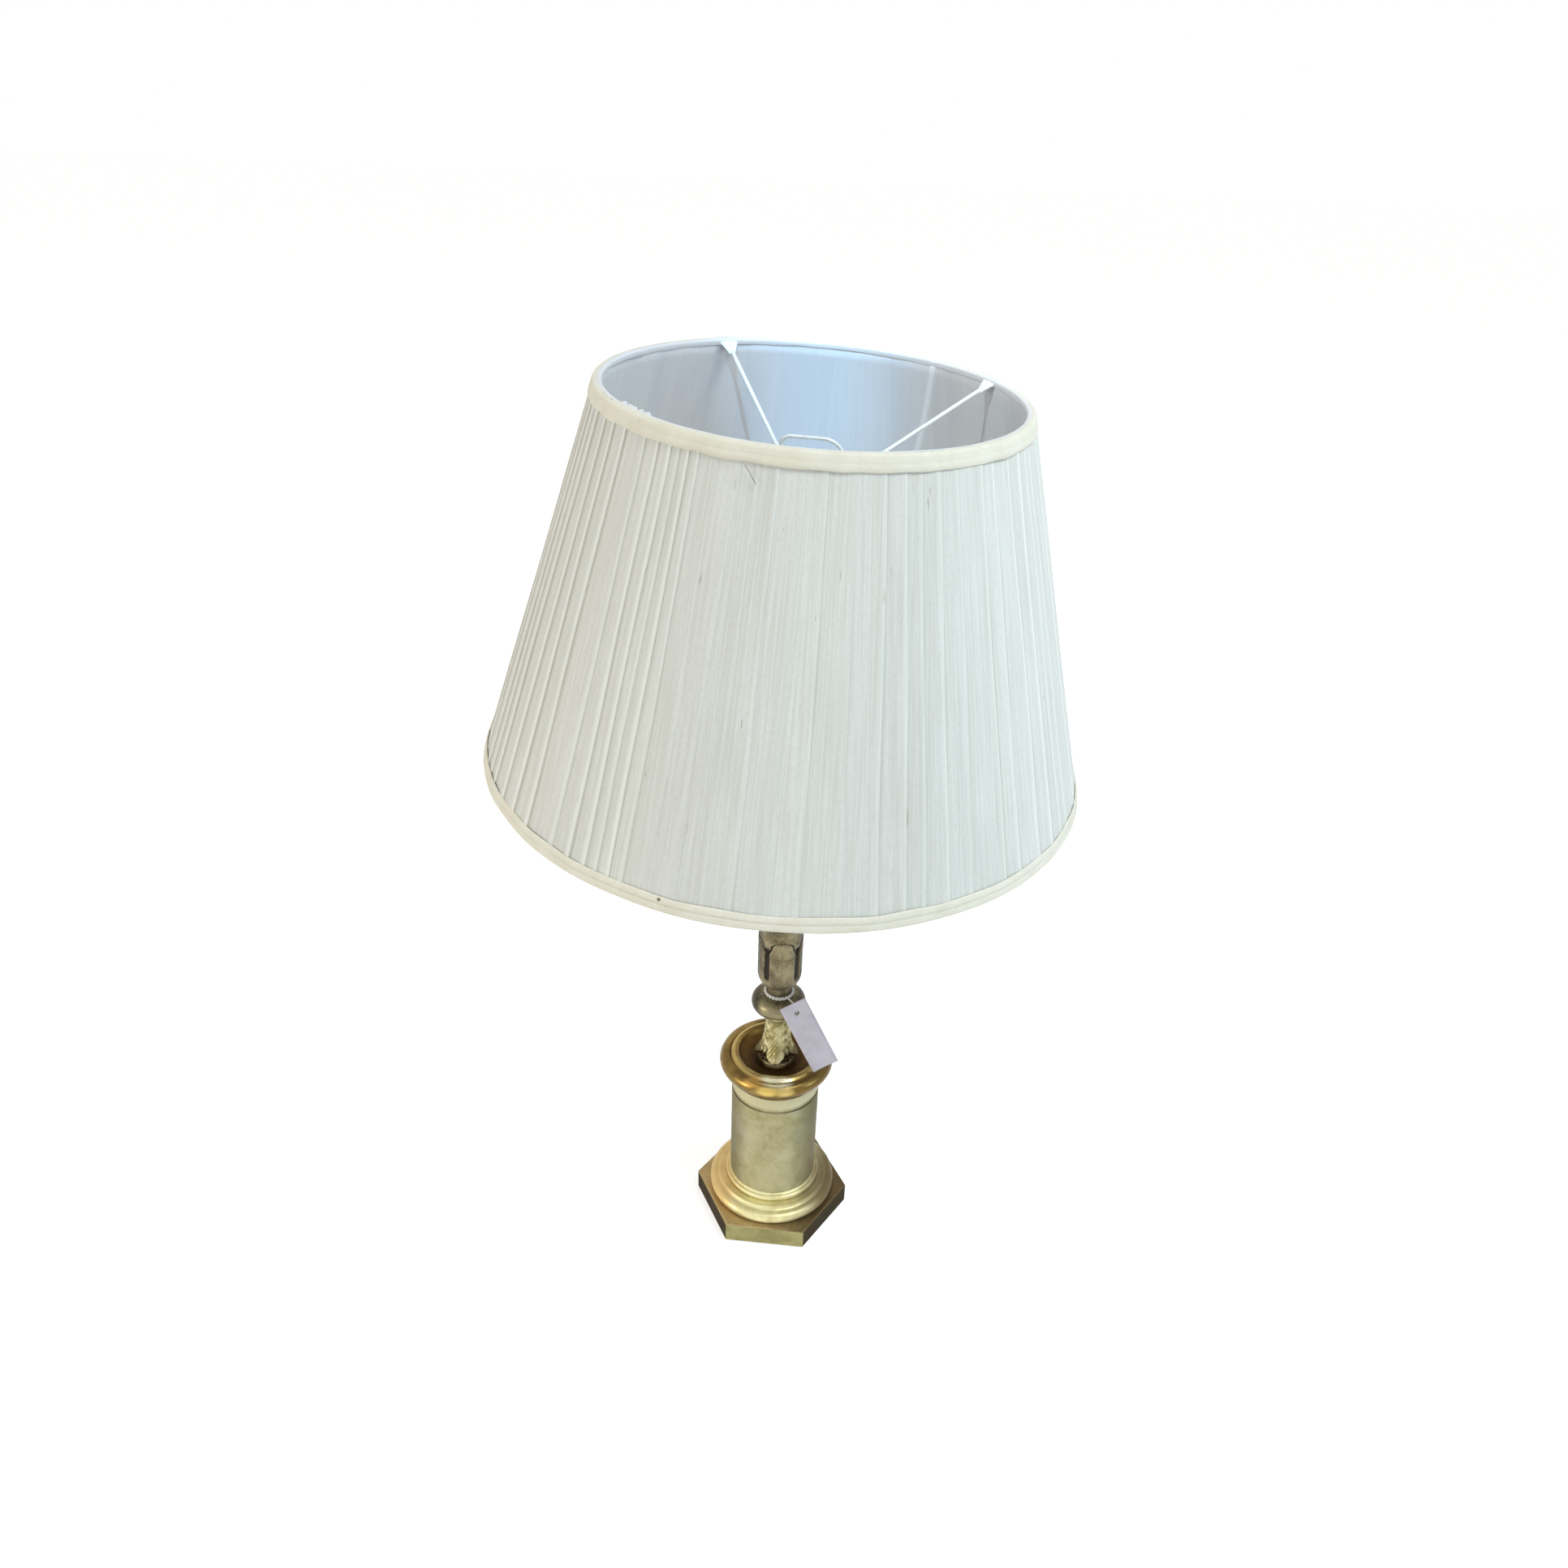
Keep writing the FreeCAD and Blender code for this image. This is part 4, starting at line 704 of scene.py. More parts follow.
def trim_silk():
    """Cream bias strip of a plainer silk, handled and a little yellowed on its top."""
    f = Finish("trim_silk", sheen_weight=0.15, sheen_roughness=0.5, specular_ior_level=0.3)
    threads = f.noise(900.0, 3.0, 0.6, vector=f.leaned(0.8))
    clouds = f.noise(60.0, 4.0, 0.6)
    base = f.mix(f.step(clouds, 0.35, 0.7), tone(229, 225, 212), tone(222, 217, 201))
    base = f.mix(f.step(threads, 0.45, 0.75, 0.0, 0.35), base, tone(210, 203, 184))
    base = f.mix(f.kept("inside"), base, tone(222, 223, 228))
    # the end of a darker thread shows on the lower trim
    mark = lean(at_front(float(shade_radius(MARK_HEIGHT)), MARK_TURN, MARK_HEIGHT)).tolist()
    base = f.mix(f.spot(mark, 1.5 * MM, 0.6 * MM), base, tone(120, 104, 84))
    f.set("Base Color", base)
    f.set("Roughness", f.step(threads, 0.3, 0.7, 0.64, 0.8))
    f.bump(((threads, 1.0), (clouds, 1.5)), 0.0002, 0.5)
    return f.material


def soft_fibres(name, light, dark, scale=1400.0, depth=0.0003):
    """Fuzzy white or dyed fibres: felt, tape, string."""
    return two_tone(name, light, dark, (130.0, 3.0, 0.6), (0.35, 0.7), (scale, 4.0, 0.7), (0.7, 0.9),
                    (depth, 0.7), sheen_weight=0.3, sheen_roughness=0.5)


def tag_card():
    """Pale lilac-grey card, faintly fibrous."""
    f = Finish("tag_card")
    fibres = f.noise(1100.0, 4.0, 0.7)
    clouds = f.noise(90.0, 4.0, 0.6)
    base = f.mix(f.step(clouds, 0.35, 0.7), tone(210, 203, 214), tone(200, 192, 203))
    f.set("Base Color", f.mix(f.step(fibres, 0.6, 0.75, 0.0, 0.4), base, tone(168, 160, 170)))
    f.set("Roughness", f.step(fibres, 0.3, 0.7, 0.62, 0.8))
    f.bump([(fibres, 1.0)], 0.00008, 0.5)
    return f.material


FINISHES = {
    "felt": soft_fibres("felt", tone(66, 78, 56), tone(50, 60, 42), 1800.0, 0.0006),
    "aged_brass": aged_brass(),
    "black_rubber": moulded("black_rubber", tone(34, 34, 34), tone(26, 26, 27), 0.62),
    "ballast_iron": ballast_iron(),
    "zinc_steel": plain_metal("zinc_steel", tone(196, 196, 198), 0.32),
    "cream_patina": cream_patina(),
    "polished_brass": polished_brass(),
    "cast_brass": cast_brass(),
    "bronze_brown": bronze_brown(),
    "ivory_plastic": moulded("ivory_plastic", tone(236, 228, 202), tone(226, 216, 186), 0.34, 0.2),
    "white_plastic": moulded("white_plastic", tone(236, 235, 230), tone(228, 226, 218), 0.3, 0.4),
    "plated_steel": plain_metal("plated_steel", tone(214, 214, 212), 0.24),
    "contact_brass": plain_metal("contact_brass", tone(214, 184, 112), 0.28),
    "black_plastic": moulded("black_plastic", tone(30, 30, 32), tone(38, 38, 40), 0.26, 0.4),
    "bulb_glass": bulb_glass(),
    "white_wire": white_wire(),
    "white_tape": soft_fibres("white_tape", tone(236, 242, 243), tone(220, 228, 232)),
    "cover_silk": cover_silk(),
    "lining_cloth": lining_cloth(),
    "trim_silk": trim_silk(),
    "string": soft_fibres("string", tone(246, 244, 240), tone(222, 218, 210)),
    "tag_card": tag_card(),
}


def dress(piece, slot, body, *nodes):
    """Finish a new piece, put it on its body and let it stand for its CAD nodes."""
    piece.data.materials.clear()
    piece.data.materials.append(FINISHES[slot])
    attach(piece, body)
    if nodes:
        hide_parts(*nodes)
    return piece


def dress_cad_nodes():
    for part in frame["record"]["subparts"]:
        data = frame["nodes"][part["node"]].data
        data.materials.clear()
        data.materials.append(FINISHES[part["material_slot"]])


# ---------------------------------------------------------------- shade cover


def cloth_band(name, kept, rows):
    """Leaned cloth from rows of (angles, radii, height, value that the points keep)."""
    outer = [ring_points(turn, radius, z) for turn, radius, z, _ in rows]
    inner = [ring_points(turn, radius - CLOTH_THICKNESS, z) for turn, radius, z, _ in rows]
    band = shell(name, lean(np.array(outer)), lean(np.array(inner)))
    keep_value(band, kept, np.tile(np.concatenate([row[3] for row in rows]), 2))
    return band


def pleat_folds(rng):
    """All folds round the shade: degrees from the front and share of the full depth."""
    folds = list(FRONT_PLEATS)
    while folds[-1][0] < FRONT_PLEATS[0][0] + 360 - PLEAT_WIDTHS[1]:
        folds.append((folds[-1][0] + rng.uniform(*PLEAT_WIDTHS), rng.uniform(PLEAT_LEAST, 1.0)))
    return folds


def pleat_line(folds):
    """Round the shade: degrees from the front, share of the full rise, and the painted shade or highlight of the
    cloth there.
    """
    line = []
    for (before, _), (at, depth) in zip(folds[-1:] + folds, folds):
        gap = (at - before) % 360
        slope = min(PLEAT_SLOPE, gap - PLEAT_FOLD)
        line += [(at - PLEAT_FOLD - slope * share, rise * depth, 0.5 + fold_shade * depth)
                 for share, rise, fold_shade in PLEAT_RISE]
        line += [(at - PLEAT_FOLD * (1 - share), rise * depth, 0.5 + fold_shade * depth)
                 for share, rise, fold_shade in PLEAT_DROP]
        line += [(before + PLEAT_STEP * step, 0.0, 0.5) for step in range(1, int((gap - slope) / PLEAT_STEP))]
    line = np.array(line)
    return line[np.argsort(line[:, 0])].T


def pleated_cover():
    angles, rises, fold_shades = pleat_line(pleat_folds(np.random.default_rng(11)))
    turn = np.radians(angles + FRONT)
    rows = []
    for z in np.linspace(COVER_LOW, COVER_HIGH, COVER_ROWS):
        along = (z - COVER_LOW) / (COVER_HIGH - COVER_LOW)
        held = min(1.0, min(z - COVER_LOW, COVER_HIGH - z) / PLEAT_HELD)
        opened = PLEAT_PRESSED + (1 - PLEAT_PRESSED) * held
        breathe = 1 + 0.25 * np.sin(5 * turn + 6 * along) * np.sin(11 * turn - 4 * along + 1.3)
        wander = np.radians(0.2) * np.sin(23 * turn + 5.0 * along) * np.sin(math.pi * along)
        sag = 0.12 * MM * np.sin(7 * turn + 2 * along) + 0.08 * MM * np.sin(17 * turn - 3 * along)
        radius = shade_radius(z) - COVER_OFFSET + sag * opened - PLEAT_DEPTH * opened * (1 - breathe * rises)
        rows.append((turn + wander, radius, z, fold_shades))
    cover = cloth_band("silk_cover", "fold", rows)
    dress(cover, "cover_silk", "shade", "shade_cover")


# ---------------------------------------------------------------- shade lining


def puckered_lining():
    rng = np.random.default_rng(5)
    turn = full_turn(LINING_COLS)
    centres = rng.uniform(0, 2 * math.pi, PUCKER_COUNT)
    widths = np.radians(rng.uniform(*PUCKER_WIDTHS, PUCKER_COUNT))
    sizes = rng.uniform(-1, 1, PUCKER_COUNT)
    reaches = rng.uniform(0.25, 1.0, PUCKER_COUNT)
    rows = []
    for z in np.linspace(COVER_LOW, COVER_HIGH, LINING_ROWS):
        along = (COVER_HIGH - z) / (COVER_HIGH - COVER_LOW)
        fold = np.zeros(LINING_COLS)
        for centre, width, size, reach in zip(centres, widths, sizes, reaches):
            shape = np.exp(-(wrapped(turn - centre) / width) ** 2)
            fold += size * shape * (0.35 + 0.65 * math.exp(-along / reach * PUCKER_FADE))
        base = shade_radius(z) - LINING_OFFSET
        seam = math.radians(SEAM_TOP + SEAM_TURN * (COVER_HIGH - z))
        away = abs(wrapped(turn - seam)) * base
        lap = np.clip((SEAM_WIDTH / 2 - away) / SEAM_EDGE, 0, 1)
        radius = base - PUCKER_DEPTH * 0.5 * (np.clip(fold, -1, 1.2) + 1) - SEAM_HEIGHT * lap
        rows.append((turn, radius, z, lap))
    lining = cloth_band("lining", "seam", rows)
    dress(lining, "lining_cloth", "shade", "shade_lining")


# ---------------------------------------------------------------- trims


def trim_outline(node, side):
    """Closed outline of a folded strip in (offset inwards, distance from the shade's edge)."""
    points = upright(node)
    radius = np.hypot(points[:, 0], points[:, 1])
    reach = (shade_radius(points[:, 2]) - radius).max()
    outside, inside = trim_leg(node, side, True), trim_leg(node, side, False)
    arc = np.radians(np.linspace(0, 90, 7))
    bend = TRIM_ROUND
    crease = TRIM_CREASE * (0.35 if side > 0 else 1.0)
    line = [(0.45 * MM, outside), (0.08 * MM, outside - 0.5 * MM)]
    line += [(inwards, outside * share) for inwards, share in
             ((0.0, 0.72), (0.0, 0.58), (crease, 0.53), (0.0, 0.48), (0.0, 0.36))]
    line += [(bend * (1 - math.cos(a)), bend * (1 - math.sin(a))) for a in arc]
    line += [(reach - bend * (1 - math.sin(a)), bend * (1 - math.cos(a))) for a in arc]
    line += [(reach, inside - 0.4 * MM), (reach - 0.2 * MM, inside)]
    inner = []
    for offset, drop in reversed(line):
        share = offset / reach
        inner.append((offset + TRIM_CLOTH * (1 - 2 * share), drop + TRIM_CLOTH * (1 if drop < bend else 0)))
    return line + inner


def bumps(turn, degrees, width):
    """Sum of bumps 1 high at places given in degrees from the front."""
    return sum(np.exp(-(away_from(turn, FRONT + centre) / width) ** 2) for centre in degrees)


def trim(node, name, side, seed):
    """Folded strip over the shade's top (side 1) or bottom (side -1) edge."""
    rng = np.random.default_rng(seed)
    edge, rim = (TOP_Z, TOP_RADIUS) if side > 0 else (BOTTOM_Z, BOTTOM_RADIUS)
    outline = trim_outline(node, side)
    turn = full_turn(TRIM_COLS)
    ripple = waves(turn, 7, rng, 6, 30)
    hem = waves(turn, 6, rng, 9, 40)
    tucks, lumps = np.zeros(TRIM_COLS), np.zeros(TRIM_COLS)
    for centre in rng.uniform(0, 2 * math.pi, TRIM_TUCKS):
        size, width = rng.uniform(0.4, 1.0), np.radians(rng.uniform(*TUCK_WIDTHS))
        tucks += size * np.exp(-(wrapped(turn - centre) / width) ** 2)
    if side > 0:
        tucks += bumps(turn, FRONT_TUCKS, FRONT_TUCK_WIDTH)
        lumps += bumps(turn, HEM_TUCKS, HEM_TUCK_WIDTH)
    deepest = max(drop for _, drop in outline)
    rings = []
    for offset, drop in outline:
        far = drop / deepest
        puff = TRIM_WAVE * 0.5 * ripple + TRIM_TUCK_HEIGHT * tucks * math.sin(math.pi * min(1.0, far + 0.15))
        inward = offset + np.clip(-puff, -0.35 * MM, 0.5 * MM) * (1 if offset < 2 * MM else -0.6)
        depth = drop + (TRIM_WAVE * hem * far if drop > 3 * MM else np.zeros(TRIM_COLS))
        if offset > 2.4 * MM:
            inward = inward + HEM_LUMP_IN * lumps
            depth = depth - HEM_LUMP_UP * lumps * (drop < 3 * MM)
        z = edge - side * depth
        rings.append(ring_points(turn, shade_radius(z) - inward, z))
    faces = grid_faces(len(outline), TRIM_COLS, wrap_rows=True, flip=side > 0)
    made = new_object(name, lean(np.array(rings)), faces)
    inside = [smooth(offset, 2.6 * MM, 3.6 * MM) for offset, _ in outline]
    keep_value(made, "inside", np.repeat(inside, TRIM_COLS))
    dress(made, "trim_silk", "shade", node)


def loose_thread():
    """End of a sewing thread that hangs from under the top trim over the pleats."""
    start, end = [np.array(at_front(float(shade_radius(up * MM)) + 0.1 * MM, degrees, up * MM))
                  for degrees, up in (THREAD_FROM, THREAD_TO)]
    out = np.array(at_front(1.0, THREAD_FROM[0], 0))
    middle = (start + end) / 2 + np.array([0, 0, 1.0 * MM]) + out * 0.5 * MM
    path = bezier_chain([start, middle, end], 12)
    thread = dress(tube_along("loose_thread", lean(path), THREAD_RADIUS, 6), "string", "shade")
    thread.data.materials[0] = soft_fibres("brown_thread", tone(150, 142, 128), tone(124, 116, 102))


# ---------------------------------------------------------------- tapes over the arms' ends


def arm_frame(index):
    """Outer end of a gimbal arm on the upright shade, and the unit way in along it."""
    points = upright(f"gimbal_arm_{index}")
    radius = np.hypot(points[:, 0], points[:, 1])
    end = points[radius > radius.max() - 0.5 * MM].mean(0)
    start = points[radius < radius.min() + 0.5 * MM].mean(0)
    way = (start - end) / np.linalg.norm(start - end)
    return end, way


def arm_tab(index):
    """Tab of tape laid over the rim and folded to a point round an arm's end."""
    end, way = arm_frame(index)
    out = np.array([end[0], end[1], 0]) / math.hypot(end[0], end[1])
    across, up = np.cross((0, 0, 1), out), np.array([0, 0, 1.0])
    rows, cols = 12, 25
    rim_radius = TOP_RADIUS - TAB_RIM_OFFSET
    points = []
    for v in np.arange(rows) / (rows - 1):
        half = TAB_HALF_WIDTH * (1 - v) + TAB_TIP_HALF * v
        for u in 2 * np.arange(cols) / (cols - 1) - 1:
            fold = 0.3 * MM * math.cos(3 * math.pi * u) * math.sin(math.pi * min(1.0, v + 0.25))
            aside = across * half * u
            rim = out * math.sqrt(rim_radius ** 2 - (half * u) ** 2) + up * (TOP_Z + 0.35 * MM) + aside
            tip = end + way * TAB_REACH + aside + up * 1.9 * MM * (1 - u * u)
            points.append(rim * (1 - v) + tip * v + up * (fold + 0.5 * MM * math.sin(math.pi * v)))
    tab = new_object(f"tab_{index}", lean(np.array(points)), grid_faces(rows, cols, wrap_cols=False))
    thicken(tab, TAB_CLOTH)
    return tab


def arm_tapes():
    tapes = join("arm_tapes_cloth", [arm_tab(index) for index in range(1, 5)])
    dress(tapes, "white_tape", "shade", "arm_tapes")


# ---------------------------------------------------------------- leaf castings


def turned_relief(name, node, outline, relief, rows_per_mm=2.6):
    """Surface turned about Z from (radius, height) points in mm above the node's foot, with relief added."""
    base = frame_height(node, 0)
    points = [np.array(outline[0], float)]
    for a, b in zip(np.array(outline, float), np.array(outline[1:], float)):
        steps = max(1, int(math.ceil(np.linalg.norm(b - a) * rows_per_mm)))
        points += [a + (b - a) * k / steps for k in range(1, steps + 1)]
    turn = full_turn(COLUMNS)
    heights = [relief(turn, h) for _, h in points]
    rings = [ring_points(turn, (r + raised) * MM, base + h * MM) for (r, h), raised in zip(points, heights)]
    faces = grid_faces(len(rings), COLUMNS)
    faces.append(tuple(range(COLUMNS))[::-1])
    faces.append(tuple(range((len(rings) - 1) * COLUMNS, len(rings) * COLUMNS)))
    made = new_object(name, np.array(rings), faces)
    keep_value(made, "crevice", (RELIEF_TOP - np.array(heights).ravel()) / RELIEF_RANGE)
    return made


def curve_through(points, count):
    """Smooth outline through a few (radius, height) points: a quadratic through each set of three."""
    line = []
    for a, b, c in zip(points[::2], points[1::2], points[2::2]):
        for k in range(count):
            t = k / count
            line.append(tuple((1 - t) * (1 - 2 * t) * np.array(a) + 4 * t * (1 - t) * np.array(b)
                              + t * (2 * t - 1) * np.array(c)))
    return line + [tuple(points[-1])]


# heights and depths in mm, half widths in degrees
VASE_FROM, VASE_TO = 3.7, 42.0       # heights between which there is relief
VASE_TIP_HEIGHT, VASE_LEAF_TOP = 6.5, 34.0
VASE_LEAF_HALF, VASE_TIP_HALF = 41.0, 9.0
VASE_NARROW_HALF = 15.0
VASE_SUNK, VASE_SUNK_BY_TIPS = 0.9, 2.2


def vase_relief(turn, height):
    """Four broad leaves that drape to curled tips, four narrow ones behind them, and their ribs."""
    total = np.zeros_like(turn)
    if height > VASE_TO or height < VASE_FROM:
        return total
    run = (VASE_LEAF_TOP - height) / (VASE_LEAF_TOP - VASE_TIP_HEIGHT)
    half = VASE_LEAF_HALF * math.sqrt(max(0.0, 1 - max(run, 0.0) ** 2.6)) + VASE_TIP_HALF
    narrow = VASE_NARROW_HALF * math.sqrt(max(0.0, 1 - max(min(run * 1.15, 1.0), 0.0) ** 3))
    edge = half * (1 + 0.12 * math.sin(run * 24))
    swell = 0.55 * (1.0 + 1.3 * math.exp(-((height - 8.5) / 3.5) ** 2))
    for centre in range(-90, 270, 90):
        away = away_from(turn, centre)
        rib = np.exp(-(away / 3.2) ** 2)
        veins = np.sin(abs(away) * 0.55 + height * 1.5) * np.clip(1 - abs(away) / half, 0, 1)
        total += smooth(-abs(away), -edge, -edge * 0.72) * (swell + 0.35 * rib + 0.16 * veins)
        behind = away_from(turn, centre + 45)
        total += smooth(-abs(behind), -narrow - 2, -narrow * 0.6) * 0.3 + 0.18 * np.exp(-(behind / 2.6) ** 2)
    drop = VASE_SUNK_BY_TIPS * math.exp(-((height - VASE_TIP_HEIGHT) / 3.0) ** 2)
    return total - VASE_SUNK - drop * (1 - np.clip(total, 0, 1))


def leaf_vase():
    outline = [(5.4, 0.0), (14.5, 0.0), (14.5, 0.6), (14.5, 3.2), (13.4, 3.5)]
    outline += curve_through([(13.4, 3.6), (16.0, 4.7), (16.9, 6.6)], 6)
    outline += curve_through([(16.9, 6.7), (11.9, 16.8), (9.3, 35.0)], 18)
    outline += curve_through([(9.3, 35.0), (9.3, 39.5), (10.5, 43.0)], 6)
    outline += [(10.6, 43.4), (10.6, 44.8), (10.2, 45.3), (8.0, 46.3), (7.6, 46.8), (7.6, 48.5), (5.4, 48.5)]
    vase = turned_relief("leaf_vase_cast", "leaf_vase", outline, vase_relief)
    dress(vase, "cast_brass", "lamp", "leaf_vase")


STEM_PANEL_TOP = 45.0
STEM_HEAD = 31.0             # where the panels begin to arch
STEM_BAND = 47.0             # foot of the plain bands above the panels
STEM_TURN = 10.6             # degrees by which the front panel is turned from -Y
STEM_PANEL_HALF = 36.0
STEM_GROOVE, STEM_GROOVE_HALF = 1.35, 8.5
STEM_BUD_HEIGHT = 42.0
STEM_LINE = 0.9              # depth of the line round an arched head
STEM_SUNK = 0.35


def stem_relief(turn, height):
    """Four tall leaf panels with arched heads and a sunk midline, parted by dark grooves with buds."""
    total = np.zeros_like(turn)
    rising = max(0.0, (height - STEM_HEAD) / (STEM_PANEL_TOP - STEM_HEAD))
    arch = STEM_PANEL_HALF * math.sqrt(max(0.0, 1 - rising ** 2)) * (1 + 0.09 * math.sin(rising * 9.5))
    foot = float(smooth(height, 1.0, 9.0))
    sunk = 0.6 * float(smooth(height, 6.0, 12.0)) * (height < 38)
    grooved = STEM_GROOVE * float(smooth(height, 7.0, 13.0)) * float(1 - smooth(height, 36.5, 39.5))
    bud = math.exp(-((height - STEM_BUD_HEIGHT) / 2.4) ** 2)
    lined = STEM_LINE * (STEM_HEAD < height < STEM_PANEL_TOP + 1)
    for centre in np.arange(-90, 270, 90) + STEM_TURN:
        away = away_from(turn, centre)
        inside = smooth(-abs(away), -arch - 1.5, -arch + 2.5) * (arch > 2)
        leaf = 0.35 * np.exp(-((abs(away) - arch + 9.0) / 1.6) ** 2) * (arch > 14)
        veins = 0.12 * np.sin(abs(away) * 0.5 - height * 0.8) * (height < 42)
        middle = sunk * np.exp(-(away / 1.6) ** 2)
        total += inside * (0.35 + 0.25 * np.cos(np.radians(away)) - middle - leaf + veins) * foot
        gap = away_from(turn, centre + 45)
        total -= grooved * np.exp(-(gap / STEM_GROOVE_HALF) ** 4)
        total += bud * np.exp(-(gap / 8.0) ** 2)
        line = np.exp(-((abs(away) - arch - 4.0) / 2.4) ** 2)
        total -= lined * line * (1 - np.exp(-(gap / 9.0) ** 2))
    return np.where(height > STEM_BAND, 0.0, total - STEM_SUNK)


def fluted_stem():
    outline = [(5.4, 0.0), (13.0, 0.0)]
    outline += curve_through([(13.2, 0.2), (15.6, 5.0), (16.4, 11.0)], 8)
    outline += [(16.4, 29.0), (16.5, STEM_BAND), (15.8, STEM_BAND + 0.7), (15.8, STEM_BAND + 5)]
    outline += [(16.5, STEM_BAND + 6), (16.5, STEM_BAND + 7.5), (15.8, STEM_BAND + 8.5), (15.8, 66.0)]
    outline += curve_through([(15.8, 66.0), (17.6, 68.0), (15.8, 70.0)], 8) + [(5.4, 70.0)]
    stem = turned_relief("leaf_stem_cast", "fluted_stem", outline, stem_relief, 2.2)
    dress(stem, "bronze_brown", "lamp", "fluted_stem")


# ---------------------------------------------------------------- string and tag


def twisted(name, path, closed, twist, ply):
    """Two plies of a radius, twisted round a path of closely spaced points."""
    path = np.asarray(path, float)
    ahead = np.roll(path, -1, 0) - path
    if not closed:
        ahead[-1] = ahead[-2]
    run = np.concatenate([[0.0], np.cumsum(np.linalg.norm(ahead, axis=1))])
    length = run[-1] if closed else run[-2]
    turns = max(1, round(length / twist)) if closed else length / twist
    way = ahead / np.linalg.norm(ahead, axis=1)[:, None]
    side = np.cross(way, (0, 0, 1.0))
    side[np.linalg.norm(side, axis=1) < 1e-6] = (1, 0, 0)
    side /= np.linalg.norm(side, axis=1)[:, None]
    up = np.cross(side, way)
    strands = []
    for phase in (0, math.pi):
        angle = (2 * math.pi * turns * run[:len(path)] / length + phase)[:, None]
        strand = path + 0.9 * ply * (np.cos(angle) * side + np.sin(angle) * up)
        strands.append(tube_along(f"{name}_{len(strands)}", strand, ply, 8, closed))
    return join(name, strands)


def waist_string():
    low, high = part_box("waist_string")
    middle, size = (low + high) / 2, (high.z - low.z) / 2
    radius = (high.x - low.x) / 2 - size
    turn = full_turn(240)
    rise = 0.12 * MM * np.sin(2 * turn + 0.4)
    loop = twisted("waist_loop", ring_points(turn, radius, middle.z + rise), True, STRING_TWIST, STRING_PLY)
    dress(loop, "string", "lamp", "waist_string")


def tag_axes():
    """Points of the CAD card, and unit vectors along it, across it and through it to the front."""
    points = node_points("paper_tag")
    long, _, thin = np.linalg.svd(points - points.mean(0))[2]
    long = -long if long[2] > 0 else long
    thin = -thin if thin[1] > 0 else thin
    return points, long, np.cross(long, thin), thin


def paper_tag():
    """Card with a punched hole, a slight curl across and a soft bend along it."""
    points, *axes = tag_axes()
    long, wide, thin = axes
    low, high = [(points @ axis).min() for axis in axes], [(points @ axis).max() for axis in axes]
    length, width = high[0] - low[0], high[1] - low[1]
    corner = low[0] * long + low[1] * wide + (low[2] + high[2]) / 2 * thin
    # rings of points from the hole out to a square at the card's head, then rows down to its foot
    square, cols, rings, rows = 2 * TAG_HOLE_DOWN, 8, 6, 24
    steps = np.arange(cols) / cols
    edge = [(square, width * t) for t in steps] + [(square * (1 - t), width) for t in steps]
    edge += [(0.0, width * (1 - t)) for t in steps] + [(square * t, 0.0) for t in steps]
    centre = np.array([TAG_HOLE_DOWN, width / 2])
    flat = []
    for ring in range(rings):
        for point in np.array(edge):
            rim = centre + (point - centre) / np.linalg.norm(point - centre) * TAG_HOLE_RADIUS
            flat.append(rim + (point - rim) * ring / (rings - 1))
    faces = grid_faces(rings, len(edge), flip=True)
    faces += grid_faces(rows, cols + 1, wrap_cols=False, start=len(flat), flip=True)
    flat += [(square + (length - square) * i / (rows - 1), width * j / cols)
             for i in range(rows) for j in range(cols + 1)]
    made = []
    for along, side in flat:
        curl = 0.7 * MM * (side / width * 2 - 1) ** 2 * (along / length)
        bend = 0.5 * MM * math.sin(math.pi * along / length)
        made.append(corner + along * long + side * wide + (curl + bend) * thin)
    tag = new_object("tag_card", np.array(made), faces)
    tag.modifiers.new("weld", "WELD").merge_threshold = 0.1 * MM
    thicken(tag, TAG_CARD)
    dress(tag, "tag_card", "tag", "paper_tag")


def string_link():
    """Twisted string from the loop, over the knop's shoulder and through the tag's hole."""
    points = node_points("string_link")
    thin = tag_axes()[-1]
    radius, ahead = np.hypot(points[:, 0], points[:, 1]), points @ thin
    start = points[radius < radius.min() + 0.4 * MM].mean(0)
    front = points[ahead > ahead.max() - 0.2 * MM].mean(0)
    behind = front - thin * LINK_BEHIND
    out = np.array([start[0], start[1], 0]) / math.hypot(start[0], start[1])
    shoulder = np.array([*(out[:2] * SHOULDER_RADIUS), points[:, 2].max() - 0.6 * MM])
    control = [start, shoulder - out * 4 * MM, shoulder, (shoulder + behind) / 2, behind,
               front + thin * 0.2 * MM]
    link = twisted("string_end", bezier_chain(control), False, LINK_TWIST, LINK_PLY)
    dress(link, "string", "tag", "string_link")


# ---------------------------------------------------------------- felt and hidden springs


